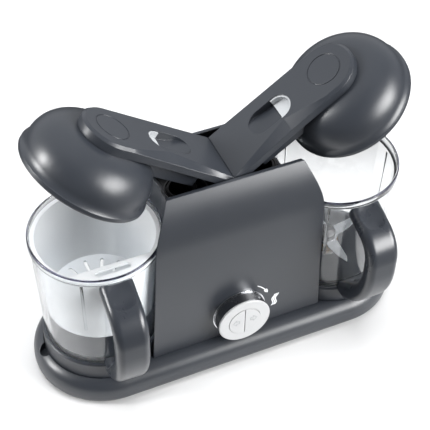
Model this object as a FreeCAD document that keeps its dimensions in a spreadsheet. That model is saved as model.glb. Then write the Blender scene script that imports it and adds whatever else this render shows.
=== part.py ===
import FreeCAD, Part
import math
import os
from types import SimpleNamespace

import Sketcher

# Twin steam cooker and blender for baby food: a long base with two wells, a centre body with two boilers and
# two motors, two clear jugs with blades, and two domed lids whose arms hinge in the middle of the body.
# Frame in millimetres: origin on the table under the middle of the base, +X right, -Y front, +Z up.
# The pieces are drawn at rest, with both lids held open.

# Driving dimensions, in millimetres and degrees
SIZES = {
    # Base
    "jug_spacing": 123.5,
    "base_half_width": 70.0,
    "base_height": 31.0,
    "base_wall": 10.0,
    "base_bottom_round": 8.0,
    "foot_height": 2.0,
    "foot_radius": 8.0,
    "foot_taper": 0.8,
    "foot_pocket": 1.0,
    "foot_across": 105.0,
    "foot_depth": 46.0,
    "cover_thickness": 2.5,
    "cover_gap": 0.2,
    "well_floor": 20.0,
    "well_floor_thickness": 2.5,
    "well_gap": 0.7,
    "notch_radius": 8.5,
    "notch_inset": 2.0,
    "drive_opening_across": 46.0,
    "drive_opening_depth": 28.0,
    "screw_head_radius": 3.3,
    "screw_head_height": 1.4,
    "screw_shank_radius": 1.5,
    "screw_length": 11.0,
    "screw_fit": 0.05,
    "boss_radius": 4.5,
    "boss_across": 95.0,
    "boss_depth": 52.0,
    "middle_boss_depth": 54.0,
    # Body shells
    "body_half_depth": 52.8,
    "body_half_width": 96.0,
    "shell_arc_rise": 53.0,
    "hinge_cover": 1.0,
    "shell_arc_radius": 95.0,
    "shell_wall": 2.8,
    "seat_margin": 0.2,
    "bay_gap_bottom": 3.8,
    "bay_gap_top": 4.0,
    "side_wall_rise": 1.0,
    "loose_fit": 0.3,
    "running_fit": 0.05,
    "deck_drop": 25.0,
    "deck_thickness": 2.5,
    "gland_height": 44.0,
    "gland_radius": 6.0,
    "gland_flange_radius": 9.5,
    "gland_flange_thickness": 3.0,
    "gland_bore": 3.8,
    "gland_depth": 6.0,
    # Hinges
    "hinge_rise": 48.4,
    "lid_rest_angle": 34.6,
    "knuckle_gap": 0.4,
    "hinge_pin_radius": 2.5,
    "hinge_pin_inset": 4.4,
    "ear_radius": 4.0,
    "ear_thickness": 5.0,
    "ear_inset": 8.0,
    "bracket_thickness": 3.0,
    "bracket_margin": 2.0,
    # Boilers
    "boiler_across": 28.5,
    "boiler_depth": -4.0,
    "boiler_radius": 23.5,
    "boiler_wall": 1.5,
    "boiler_height": 48.0,
    "boiler_neck_length": 9.5,
    "neck_across": 40.0,
    "neck_bore": 11.5,
    "neck_rise": 2.0,
    "neck_flange": 1.2,
    "neck_flange_thickness": 2.0,
    "heater_height": 6.0,
    "heater_width": 6.0,
    # Motors and drive
    "motor_across": 30.0,
    "motor_radius": 23.0,
    "motor_height": 63.0,
    "motor_cap": 3.0,
    "rotor_radius": 15.0,
    "rotor_end_gap": 6.0,
    "motor_shaft_radius": 3.0,
    "motor_shaft_tail": 4.0,
    "mount_half_width": 54.0,
    "mount_half_depth": 36.0,
    "mount_thickness": 3.0,
    "pulley_clearance": 2.0,
    "pulley_width": 9.0,
    "pulley_flange_thickness": 1.0,
    "pulley_flange": 2.2,
    "motor_pulley_radius": 10.0,
    "spindle_pulley_radius": 20.0,
    "belt_thickness": 1.8,
    "belt_gap": 0.15,
    "spindle_radius": 4.0,
    "bush_radius": 8.0,
    "bush_flange_radius": 11.0,
    "bush_flange_thickness": 1.5,
    "drive_head_radius": 8.5,
    "drive_head_height": 16.0,
    # Jugs
    "collar_radius": 58.5,
    "collar_wall": 3.0,
    "collar_top": 49.0,
    "collar_edge": 1.2,
    "bowl_foot_radius": 56.1,
    "bowl_shoulder_radius": 60.9,
    "bowl_wall": 2.6,
    "bowl_floor_thickness": 3.5,
    "bowl_hub_radius": 13.0,
    "bowl_hub_height": 13.0,
    "jug_rim_radius": 62.5,
    "jug_rim_height": 175.6,
    "jug_rim_band": 7.9,
    "jug_rim_wall": 2.3,
    "blade_bush_radius": 9.0,
    "blade_shaft_radius": 5.0,
    "socket_radius": 13.0,
    "socket_gap": 0.5,
    "socket_start": 24.0,
    "socket_roof": 3.5,
    "blade_hub_radius": 9.5,
    "blade_hub_foot": 5.5,
    "blade_hub_cap": 8.0,
    "knife_ring_radius": 12.0,
    "knife_thickness": 1.5,
    "knife_reach": 41.0,
    "knife_width": 12.0,
    "knife_tilt": 12.0,
    # Handles
    "handle_half_width": 16.0,
    "handle_turn": 1.6,
    "handle_slope": 20.0,
    "handle_reach": 106.0,
    "grip_drop": 49.4,
    "grip_length": 14.2,
    "handle_foot_reach": 71.0,
    "handle_foot_height": 45.0,
    "handle_thickness": 16.5,
    "handle_bend_round": 36.0,
    "handle_foot_round": 18.0,
    "handle_edge_round": 7.0,
    "thumb_dent_length": 24.0,
    "thumb_dent_width": 21.5,
    "thumb_dent_depth": 2.0,
    "thumb_dent_inset": 6.0,
    # Steam basket
    "basket_blade_gap": 7.2,
    "basket_foot_inset": 4.1,
    "basket_rim_inset": 3.5,
    "basket_wall": 1.8,
    "basket_flange_thickness": 2.4,
    "basket_lip_depth": 17.0,
    "basket_slot_length": 34.0,
    "basket_slot_width": 6.0,
    "drain_slot_length": 15.0,
    "drain_slot_width": 3.2,
    "drain_inner_radius": 18.0,
    "drain_outer_radius": 37.0,
    # Lids
    "arm_top_rise": 6.0,
    "arm_bottom_drop": 4.5,
    "arm_side_gap": 0.8,
    "arm_flare": 3.9,
    "arm_edge": 2.5,
    "facet_width": 13.0,
    "facet_depth": 3.8,
    "facet_length": 58.0,
    "facet_end": 100.0,
    "ring_radius": 16.0,
    "ring_width": 1.0,
    "ring_depth": 0.5,
    "slot_middle": 50.0,
    "slot_length": 45.5,
    "slot_width": 26.0,
    "scoop_run": 31.5,
    "scoop_depth": 8.5,
    "window_thickness": 1.5,
    "window_start": 57.0,
    "window_recess": 1.0,
    "lid_gap": 0.3,
    "gasket_thickness": 1.2,
    "gasket_upstand": 3.5,
    "gasket_lip": 1.3,
    "lid_rim_radius": 62.0,
    "lid_lip_height": 3.2,
    "lid_crease": 0.6,
    "flare_height": 10.5,
    "dome_radius": 59.4,
    "dome_wall": 2.5,
    "dome_top_radius": 28.0,
    "dome_round": 32.0,
    "liner_height": 6.0,
    "liner_thickness": 2.0,
    "nozzle_bore": 4.0,
    "nozzle_wall": 2.0,
    "nozzle_height": 12.0,
    "duct_start": 17.0,
    "duct_half_width": 21.0,
    "duct_wall": 3.0,
    "duct_channel_half_width": 8.0,
    "duct_seal_width": 3.0,
    "duct_seal_thickness": 1.7,
    "lid_screw_circle": 20.0,
    # Controls
    "knob_height": 62.0,
    "dial_ring_radius": 27.8,
    "dial_ring_width": 4.8,
    "dial_ring_thickness": 1.8,
    "knob_neck_radius": 22.6,
    "knob_barrel_radius": 26.6,
    "knob_barrel_length": 12.2,
    "knob_face_radius": 27.2,
    "knob_face_thickness": 2.6,
    "knob_face_edge": 1.2,
    "knob_shaft_radius": 4.0,
    "button_radius": 16.5,
    "button_gap": 0.8,
    "button_height": 5.6,
    "button_rise": 0.5,
    "button_travel": 2.0,
    "switch_half_width": 9.0,
    "switch_depth": 8.0,
    "board_half_width": 38.0,
    "board_bottom": 37.0,
    "board_height": 62.0,
    "board_thickness": 1.6,
}

V = FreeCAD.Vector
OVERRUN = 1.0  # how far a cutting tool runs past the face it opens
TOUCHING = 0.01  # how near an edge lies to the plane it is picked by
ROUND_SHARE = 0.98  # how much of its room a limited round may take
LID_SCREW_ANGLES = (90, 210, 330)
KNIFE_ANGLES = (0, 90, 180, 270)
DRAIN_COUNTS = {"drain_inner_radius": 8, "drain_outer_radius": 16}
SIDES = (("left", -1), ("right", 1))

doc = FreeCAD.newDocument("BabyFoodMaker")
sheet = doc.addObject("Spreadsheet::Sheet", "Sizes")
for row, (alias, number) in enumerate(SIZES.items(), start=1):
    sheet.set(f"A{row}", alias.replace("_", " "))
    sheet.set(f"B{row}", str(number))
    sheet.setAlias(f"B{row}", alias)
doc.recompute()


class Size:
    """A number together with the sheet expression that it comes from."""

    def __init__(self, number, text):
        self.number = float(number)
        self.text = text

    def __add__(self, other):
        other = as_size(other)
        return Size(self.number + other.number, f"({self.text} + {other.text})")

    def __sub__(self, other):
        other = as_size(other)
        return Size(self.number - other.number, f"({self.text} - {other.text})")

    def __mul__(self, other):
        other = as_size(other)
        return Size(self.number * other.number, f"({self.text} * {other.text})")

    def __truediv__(self, other):
        other = as_size(other)
        return Size(self.number / other.number, f"({self.text} / {other.text})")

    def __radd__(self, other):
        return as_size(other) + self

    def __rsub__(self, other):
        return as_size(other) - self

    def __rmul__(self, other):
        return as_size(other) * self

    def __neg__(self):
        return as_size(0) - self


def as_size(value):
    return value if isinstance(value, Size) else Size(value, f"{value:g}")


def root(value):
    return Size(math.sqrt(value.number), f"sqrt({value.text})")


def sine(angle):
    return Size(math.sin(math.radians(angle.number)), f"sin({angle.text})")


def cosine(angle):
    return Size(math.cos(math.radians(angle.number)), f"cos({angle.text})")


def lesser(first, second):
    return Size(min(first.number, second.number), f"min({first.text}; {second.text})")


d = SimpleNamespace(**{alias: Size(float(sheet.get(alias)), f"Sizes.{alias}") for alias in SIZES})
nodes = {}


def bind(obj, prop, value):
    """Ties a property of a document object to the sheet."""
    value = as_size(value)
    obj.setExpression(prop, value.text)


def move(obj, x=0, y=0, z=0):
    for letter, value in zip("xyz", (x, y, z)):
        bind(obj, f"Placement.Base.{letter}", value)
    return obj


# Sketch drawing

def fix_point(sketch, geometry, end, u, v):
    """Holds one end of a sketch edge at (u, v); a plain 0 lies on the sketch's own axis."""
    for kind, axis, value in (("DistanceX", -2, u), ("DistanceY", -1, v)):
        if not isinstance(value, Size) and value == 0:
            sketch.addConstraint(Sketcher.Constraint("PointOnObject", geometry, end, axis))
            continue
        value = as_size(value)
        index = sketch.addConstraint(Sketcher.Constraint(kind, -1, 1, geometry, end, value.number))
        sketch.setExpression(f"Constraints[{index}]", value.text)


def arc_between(start, finish, radius):
    """The short arc of a signed radius: it turns left from start to finish where the radius is positive."""
    middle = (start + finish) * 0.5
    along = finish - start
    left = V(-along.y, along.x, 0).normalize()
    height = math.sqrt(max(radius * radius - along.Length ** 2 / 4, 0))
    centre = middle + left * math.copysign(height, radius)
    first, last = (start, finish) if radius > 0 else (finish, start)
    angles = [math.atan2((p - centre).y, (p - centre).x) for p in (first, last)]
    return Part.ArcOfCircle(Part.Circle(centre, V(0, 0, 1), abs(radius)), *angles)


def draw_outline(sketch, corners):
    """Draws a closed outline; a corner with a third value is reached by an arc of that signed radius."""
    points = [V(as_size(c[0]).number, as_size(c[1]).number, 0) for c in corners]
    ends = []
    for i, corner in enumerate(corners):
        start, finish = points[i - 1], points[i]
        if len(corner) == 3:
            radius = as_size(corner[2])
            geometry = sketch.addGeometry(arc_between(start, finish, radius.number))
            ends.append((geometry, 1, 2) if radius.number > 0 else (geometry, 2, 1))
        else:
            ends.append((sketch.addGeometry(Part.LineSegment(start, finish)), 1, 2))
    for i, corner in enumerate(corners):
        geometry, _, last = ends[i]
        following, first, _ = ends[(i + 1) % len(corners)]
        sketch.addConstraint(Sketcher.Constraint("Coincident", geometry, last, following, first))
        fix_point(sketch, geometry, last, corner[0], corner[1])
        if len(corner) == 3:
            radius = as_size(corner[2])
            index = sketch.addConstraint(Sketcher.Constraint("Radius", geometry, abs(radius.number)))
            size = radius if radius.number > 0 else -radius
            sketch.setExpression(f"Constraints[{index}]", size.text)


def draw_circle(sketch, u, v, radius):
    number = as_size(radius).number
    geometry = sketch.addGeometry(Part.Circle(V(as_size(u).number, as_size(v).number, 0), V(0, 0, 1), number))
    fix_point(sketch, geometry, 3, u, v)
    index = sketch.addConstraint(Sketcher.Constraint("Radius", geometry, number))
    sketch.setExpression(f"Constraints[{index}]", as_size(radius).text)


def add_sketch(body, name, plane, loops, start=0):
    """A sketch on one of the body's own planes, lifted off it by start."""
    sketch = body.newObject("Sketcher::SketchObject", name)
    support = next(f for f in body.Origin.OriginFeatures if f.Role == plane)
    sketch.AttachmentSupport = [(support, "")]
    sketch.MapMode = "FlatFace"
    if as_size(start).number:
        bind(sketch, "AttachmentOffset.Base.z", start)
    for loop in loops:
        if isinstance(loop, tuple):
            draw_circle(sketch, *loop)
        else:
            draw_outline(sketch, loop)
    return sketch


def stadium(half_length, radius, middle=0):
    """The outline of a straight slot along u, with round ends."""
    right, left = middle + half_length, middle - half_length
    return [
        (right, -radius), (right + radius, 0, radius), (right, radius, radius),
        (left, radius), (left - radius, 0, radius), (left, -radius, radius),
    ]


# Solid making

def padded(name, plane, loops, length, start=0, symmetric=False):
    """A body drawn as one sketch and padded along the sketch's normal."""
    body = doc.addObject("PartDesign::Body", name)
    sketch = add_sketch(body, name + "_outline", plane, loops, start)
    pad = body.newObject("PartDesign::Pad", name + "_pad")
    pad.Profile = sketch
    bind(pad, "Length", length)
    pad.SideType = "Symmetric" if symmetric else "One side"
    return body


def turned(name, profile):
    """A body drawn as half a section, (radius, height) corners, and turned about Z."""
    body = doc.addObject("PartDesign::Body", name)
    sketch = add_sketch(body, name + "_section", "XZ_Plane", [profile])
    turn = body.newObject("PartDesign::Revolution", name + "_turn")
    turn.Profile = sketch
    turn.ReferenceAxis = (sketch, ["V_Axis"])
    turn.Angle = 360
    return body


def lofted(name, sections):
    """A body with straight sides through outlines that stand across X, given as (x, corners)."""
    body = doc.addObject("PartDesign::Body", name)
    sketches = [
        add_sketch(body, f"{name}_section_{i}", "YZ_Plane", [corners], x)
        for i, (x, corners) in enumerate(sections)
    ]
    loft = body.newObject("PartDesign::AdditiveLoft", name + "_loft")
    loft.Profile = sketches[0]
    loft.Sections = sketches[1:]
    loft.Ruled = True
    return body


def round_edges(body, radius, chosen):
    """Rounds the edges of the body's last feature that the chosen test picks."""
    doc.recompute()
    base = body.Tip
    names = [f"Edge{i}" for i, edge in enumerate(base.Shape.Edges, start=1) if chosen(edge)]
    fillet = body.newObject("PartDesign::Fillet", body.Name + "_round")
    fillet.Base = (base, names)
    bind(fillet, "Radius", radius)
    return body


def cylinder(name, radius, bottom, top, x=0, y=0):
    obj = doc.addObject("Part::Cylinder", name)
    bind(obj, "Radius", radius)
    bind(obj, "Height", as_size(top) - bottom)
    return move(obj, x, y, bottom)


def rod(name, radius, start, finish, x=0, z=0):
    """A cylinder that lies along Y."""
    obj = doc.addObject("Part::Cylinder", name)
    obj.Placement = FreeCAD.Placement(V(0, 0, 0), FreeCAD.Rotation(V(1, 0, 0), -90))
    bind(obj, "Radius", radius)
    bind(obj, "Height", as_size(finish) - start)
    return move(obj, x, start, z)


def cone(name, lower_radius, upper_radius, bottom, top, x=0, y=0):
    obj = doc.addObject("Part::Cone", name)
    bind(obj, "Radius1", lower_radius)
    bind(obj, "Radius2", upper_radius)
    bind(obj, "Height", as_size(top) - bottom)
    return move(obj, x, y, bottom)


def hexagon(name, radius, bottom, top, x=0):
    obj = doc.addObject("Part::Prism", name)
    obj.Polygon = 6
    bind(obj, "Circumradius", radius)
    bind(obj, "Height", as_size(top) - bottom)
    return move(obj, x, 0, bottom)


def box(name, low, high):
    obj = doc.addObject("Part::Box", name)
    for prop, first, last in zip(("Length", "Width", "Height"), low, high):
        bind(obj, prop, as_size(last) - first)
    return move(obj, *low)


def join(name, *shapes):
    obj = doc.addObject("Part::MultiFuse", name)
    obj.Shapes = list(shapes)
    obj.Refine = True
    return obj


def cut(name, base, *tools):
    obj = doc.addObject("Part::Cut", name)
    obj.Base = base
    obj.Tool = tools[0] if len(tools) == 1 else join(name + "_tools", *tools)
    return obj


def meet(name, first, second):
    obj = doc.addObject("Part::Common", name)
    obj.Base = first
    obj.Tool = second
    return obj


def group(name, *shapes):
    obj = doc.addObject("Part::Compound", name)
    obj.Links = list(shapes)
    return obj


def node(obj, name):
    """Makes a finished object a named piece of the assembly."""
    obj.Label = name
    nodes[name] = obj
    return obj


# Sizes that several pieces share

hinge_height = d.jug_rim_height + d.hinge_rise
shell_top = hinge_height + d.hinge_cover
front_flat_top = shell_top - d.shell_arc_rise
deck_top = shell_top - d.deck_drop
boiler_roof = deck_top - d.deck_thickness - d.boiler_neck_length
boiler_floor = boiler_roof - d.boiler_height
base_round = d.base_half_width - d.body_half_depth - d.seat_margin
cover_top = d.foot_height + d.cover_thickness
cavity_radius = d.base_half_width - d.base_wall
cavity_top = d.well_floor - d.well_floor_thickness
well_radius = d.collar_radius + d.well_gap
bay_bottom_radius = d.collar_radius + d.bay_gap_bottom
bay_top_radius = d.jug_rim_radius + d.bay_gap_top
bay_slope = (bay_top_radius - bay_bottom_radius) / (shell_top - d.base_height)
knuckle_radius = d.arm_top_rise / sine(d.lid_rest_angle)
hinge_across = knuckle_radius + d.knuckle_gap / 2
pulley_bottom = cover_top + d.pulley_clearance
pulley_top = pulley_bottom + d.pulley_width
neck_radius = d.neck_bore + d.boiler_wall
neck_top = deck_top + d.neck_rise
mount_top = d.base_height + d.mount_thickness
motor_top = mount_top + d.motor_height
front_face = -d.body_half_depth
collar_bottom = d.well_floor + d.loose_fit
bowl_floor = d.collar_top + d.bowl_floor_thickness
hub_top = d.collar_top + d.bowl_hub_height
blade_seat = hub_top + d.bush_flange_thickness + d.loose_fit + d.blade_hub_foot
blade_top = blade_seat + d.knife_thickness + d.blade_hub_cap
shoulder_height = d.jug_rim_height - d.jug_rim_band
grip_top = d.jug_rim_height - d.grip_drop
grip_bottom = grip_top - d.grip_length
drive_head_bottom = d.well_floor + d.bush_flange_thickness + d.loose_fit
screw_seats = [
    (d.boss_across * x, d.boss_depth * y) for x in (-1, 1) for y in (-1, 1)
] + [(as_size(0), d.middle_boss_depth * y) for y in (-1, 1)]


def shell_edge(inset, height):
    """Half the depth of the body at a height above its flat front, drawn in by an inset."""
    reach = d.shell_arc_radius - inset
    rise = height - front_flat_top
    return d.body_half_depth - d.shell_arc_radius + root(reach * reach - rise * rise)


arm_half_width = shell_edge(d.shell_wall, shell_top) - d.arm_side_gap
arm_outer = arm_half_width - d.arm_flare
ear_offset = arm_half_width - d.ear_inset
pin_half_length = arm_half_width - d.hinge_pin_inset


def screws(name, seats, bottom):
    """A set of loose screws that point up, as separate solids."""
    pieces = []
    for i, (x, y) in enumerate(seats):
        neck = bottom + d.screw_head_height
        head = cylinder(f"{name}_head_{i}", d.screw_head_radius, bottom, neck, x, y)
        shank = cylinder(f"{name}_shank_{i}", d.screw_shank_radius, neck, bottom + d.screw_length, x, y)
        pieces.append(join(f"{name}_screw_{i}", head, shank))
    return join(name, *pieces)


# Base: tray with two wells, bottom cover, feet and screws

def build_base():
    blank = padded("tray_blank", "XY_Plane", [stadium(d.jug_spacing, d.base_half_width)],
                   d.base_height - d.foot_height, d.foot_height)
    top, under = d.base_height.number, d.foot_height.number
    round_edges(blank, base_round, lambda edge: edge.BoundBox.ZMin > top - TOUCHING)
    round_edges(blank, d.base_bottom_round, lambda edge: edge.BoundBox.ZMax < under + TOUCHING)
    cavity = padded("tray_cavity", "XY_Plane", [stadium(d.jug_spacing, cavity_radius)],
                    cavity_top - d.foot_height + OVERRUN, d.foot_height - OVERRUN)
    tools = [cavity]
    for side, sign in SIDES:
        axis = d.jug_spacing * sign
        notch = (d.jug_spacing + well_radius - d.notch_inset) * sign
        above = d.base_height + OVERRUN
        tools.append(cylinder(f"{side}_well", well_radius, d.well_floor, above, axis))
        tools.append(cylinder(f"{side}_notch", d.notch_radius, d.well_floor, above, notch))
        tools.append(cylinder(f"{side}_bush_hole", d.bush_radius + d.running_fit,
                              cavity_top - OVERRUN, above, axis))
    tools.append(box("drive_opening",
                     (-d.drive_opening_across, -d.drive_opening_depth, cavity_top - OVERRUN),
                     (d.drive_opening_across, d.drive_opening_depth, d.base_height + OVERRUN)))
    bosses = [cylinder(f"tray_boss_{i}", d.boss_radius, cover_top, cavity_top + OVERRUN / 2, x, y)
              for i, (x, y) in enumerate(screw_seats)]
    pilots = [cylinder(f"tray_pilot_{i}", d.screw_shank_radius + d.screw_fit, cover_top - OVERRUN,
                       d.foot_height + d.screw_length + OVERRUN, x, y)
              for i, (x, y) in enumerate(screw_seats)]
    whole_tray = join("tray_with_bosses", cut("tray_shell", blank, *tools), *bosses)
    node(cut("tray", whole_tray, *pilots), "base_tray")

    plate = padded("cover_plate", "XY_Plane", [stadium(d.jug_spacing, cavity_radius - d.cover_gap)],
                   d.cover_thickness, d.foot_height)
    sinks = []
    for i, (x, y) in enumerate(screw_seats):
        seat = d.foot_height + d.screw_head_height
        sinks.append(cylinder(f"cover_sink_{i}", d.screw_head_radius + d.screw_fit,
                              d.foot_height - OVERRUN, seat, x, y))
        sinks.append(cylinder(f"cover_hole_{i}", d.screw_shank_radius + d.screw_fit,
                              seat - OVERRUN, cover_top + OVERRUN, x, y))
    foot_top = d.foot_height + d.foot_pocket
    feet = []
    for i, (x, y) in enumerate((d.foot_across * x, d.foot_depth * y) for x in (-1, 1) for y in (-1, 1)):
        feet.append(cone(f"foot_{i}", d.foot_radius - d.foot_taper, d.foot_radius, 0, foot_top, x, y))
        sinks.append(cylinder(f"foot_pocket_{i}", d.foot_radius + d.loose_fit, d.foot_height - OVERRUN,
                              foot_top, x, y))
    node(cut("cover", plate, *sinks), "bottom_cover")
    node(screws("base_screws", screw_seats, d.foot_height), "cover_screws")
    node(join("feet", *feet), "rubber_feet")


# Body: front and rear shells between the two jugs, recessed top deck and rear cord gland

def body_form(name, inset, bottom, top):
    """The body's outside drawn in by an inset: curved to the front and rear, hollowed by the two jugs."""
    reach = d.shell_arc_radius - inset
    depth = d.body_half_depth - inset
    edge = shell_edge(inset, top)
    profile = [
        (-depth, bottom), (depth, bottom), (depth, front_flat_top), (edge, top, reach),
        (-edge, top), (-depth, front_flat_top, reach),
    ]
    block = padded(name + "_block", "YZ_Plane", [profile], d.body_half_width * 2, symmetric=True)
    high = shell_top + d.base_height
    bays = [cone(f"{name}_{side}_bay", bay_bottom_radius - bay_slope * d.base_height + inset,
                 bay_bottom_radius + bay_slope * shell_top + inset, 0, high, d.jug_spacing * sign)
            for side, sign in SIDES]
    return cut(name, block, *bays)


def build_body():
    saddle = shell_edge(d.shell_wall, shell_top)
    outside = body_form("shell_outside", as_size(0), d.base_height, shell_top)
    inside = body_form("shell_inside", d.shell_wall, d.base_height - OVERRUN, shell_top + OVERRUN)
    arm_path = box("arm_path", (-d.jug_spacing, -saddle, deck_top + d.side_wall_rise),
                   (d.jug_spacing, saddle, shell_top + OVERRUN))
    walls = cut("shell_walls", outside, inside, arm_path)
    far = d.body_half_depth + OVERRUN
    low, high = d.base_height - OVERRUN, shell_top + OVERRUN
    rear_half = box("rear_half", (-d.jug_spacing, 0, low), (d.jug_spacing, far, high))
    front_half = box("front_half", (-d.jug_spacing, -far, low), (d.jug_spacing, 0, high))
    shaft_hole = rod("shaft_hole", d.knob_shaft_radius + d.running_fit, -far,
                     front_face + d.shell_wall + OVERRUN, 0, d.knob_height)
    gland_hole = rod("gland_hole", d.gland_radius + d.screw_fit, d.body_half_depth - d.shell_wall - OVERRUN,
                     far, 0, d.gland_height)
    node(cut("front", walls, rear_half, shaft_hole), "front_shell")
    node(cut("rear", walls, front_half, gland_hole), "rear_shell")

    deck_form = body_form("deck_form", d.shell_wall + d.loose_fit, d.base_height, deck_top)
    below = box("below_deck", (-d.jug_spacing, -far, d.base_height - OVERRUN),
                (d.jug_spacing, far, deck_top - d.deck_thickness))
    neck_holes = [cylinder(f"{side}_neck_hole", neck_radius + d.loose_fit, d.base_height, shell_top,
                           d.neck_across * sign, d.boiler_depth) for side, sign in SIDES]
    node(cut("deck", deck_form, below, *neck_holes), "top_deck")

    inner = d.body_half_depth - d.gland_depth
    outer = d.body_half_depth + d.gland_flange_thickness
    stem = rod("gland_stem", d.gland_radius, inner, outer, 0, d.gland_height)
    flange = rod("gland_flange", d.gland_flange_radius, d.body_half_depth, outer, 0, d.gland_height)
    bore = rod("gland_hollow", d.gland_bore, inner - OVERRUN, outer + OVERRUN, 0, d.gland_height)
    node(cut("gland", join("gland_blank", stem, flange), bore), "cord_gland")


# Hinges: one bracket on the deck with two ears for each pin

def build_hinges():
    half_width = hinge_across + d.ear_radius + d.bracket_margin
    half_depth = ear_offset + d.ear_thickness / 2 + d.bracket_margin
    plate_top = deck_top + d.bracket_thickness
    pieces = [box("bracket_plate", (-half_width, -half_depth, deck_top),
                  (half_width, half_depth, plate_top))]
    bores, pins = [], []
    for side, sign in SIDES:
        axis = hinge_across * sign
        for end in (-1, 1):
            start = ear_offset * end - d.ear_thickness / 2
            finish = start + d.ear_thickness
            label = f"{side}_{'front' if end < 0 else 'rear'}_ear"
            pieces.append(rod(label + "_head", d.ear_radius, start, finish, axis, hinge_height))
            pieces.append(box(label, (axis - d.ear_radius, start, deck_top),
                              (axis + d.ear_radius, finish, hinge_height)))
        bores.append(rod(f"{side}_ear_bore", d.hinge_pin_radius + d.running_fit, -half_depth - OVERRUN,
                         half_depth + OVERRUN, axis, hinge_height))
        pins.append(rod(f"{side}_pin", d.hinge_pin_radius, -pin_half_length, pin_half_length,
                        axis, hinge_height))
    node(cut("bracket", join("bracket_blank", *pieces), *bores), "hinge_bracket")
    node(join("pins", *pins), "hinge_pins")


# Boilers: cups that hang from the deck by their filling necks, with a heating ring below each

def build_boilers():
    rings = []
    for side, sign in SIDES:
        cup_x, neck_x, y = d.boiler_across * sign, d.neck_across * sign, d.boiler_depth
        wall = d.boiler_wall
        flange_top = deck_top - d.deck_thickness
        cup = cylinder(f"{side}_cup", d.boiler_radius, boiler_floor, boiler_roof, cup_x, y)
        neck = cylinder(f"{side}_neck", neck_radius, boiler_roof - wall, neck_top, neck_x, y)
        flange = cylinder(f"{side}_neck_flange", neck_radius + d.neck_flange,
                          flange_top - d.neck_flange_thickness, flange_top, neck_x, y)
        hollow = cylinder(f"{side}_cup_hollow", d.boiler_radius - wall, boiler_floor + wall,
                          boiler_roof - wall, cup_x, y)
        bore = cylinder(f"{side}_neck_bore", d.neck_bore, boiler_roof - wall * 2, neck_top + OVERRUN,
                        neck_x, y)
        mouth = meet(f"{side}_neck_mouth", bore, cylinder(f"{side}_mouth_limit", d.boiler_radius - wall,
                                                          boiler_floor, boiler_roof, cup_x, y))
        upper = cylinder(f"{side}_neck_upper", d.neck_bore, boiler_roof, neck_top + OVERRUN, neck_x, y)
        node(cut(f"{side}_boiler_cup", join(f"{side}_boiler_blank", cup, neck, flange), hollow, mouth, upper),
             f"{side}_boiler")
        bottom = boiler_floor - d.heater_height
        ring = cylinder(f"{side}_heater", d.boiler_radius - wall, bottom, boiler_floor, cup_x, y)
        hole = cylinder(f"{side}_heater_hole", d.boiler_radius - wall - d.heater_width, bottom - OVERRUN,
                        boiler_floor + OVERRUN, cup_x, y)
        rings.append(cut(f"{side}_heater_ring", ring, hole))
    node(join("heaters", *rings), "boiler_heaters")


# Drive: motors on a mount, belts in the base and hexagonal drive heads in the wells

def pulley_profile(radius, shaft, bottom, top):
    """Half section of a shaft that carries a flanged belt pulley."""
    flange = radius + d.pulley_flange
    lower = pulley_bottom + d.pulley_flange_thickness
    upper = pulley_top - d.pulley_flange_thickness
    return [
        (0, bottom), (flange, bottom), (flange, lower), (radius, lower), (radius, upper), (flange, upper),
        (flange, pulley_top), (shaft, pulley_top), (shaft, top), (0, top),
    ]


def belt_outline(small, large, start, span):
    """A belt's path round a small pulley at start and a large one a span to its right."""
    lean = (large - small) / span
    rise = root(1 - lean * lean)
    far = start + span
    return [
        (far - large * lean, -large * rise), (far + large, 0, large),
        (far - large * lean, large * rise, large),
        (start - small * lean, small * rise), (start - small, 0, small),
        (start - small * lean, -small * rise, small),
    ]


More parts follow.
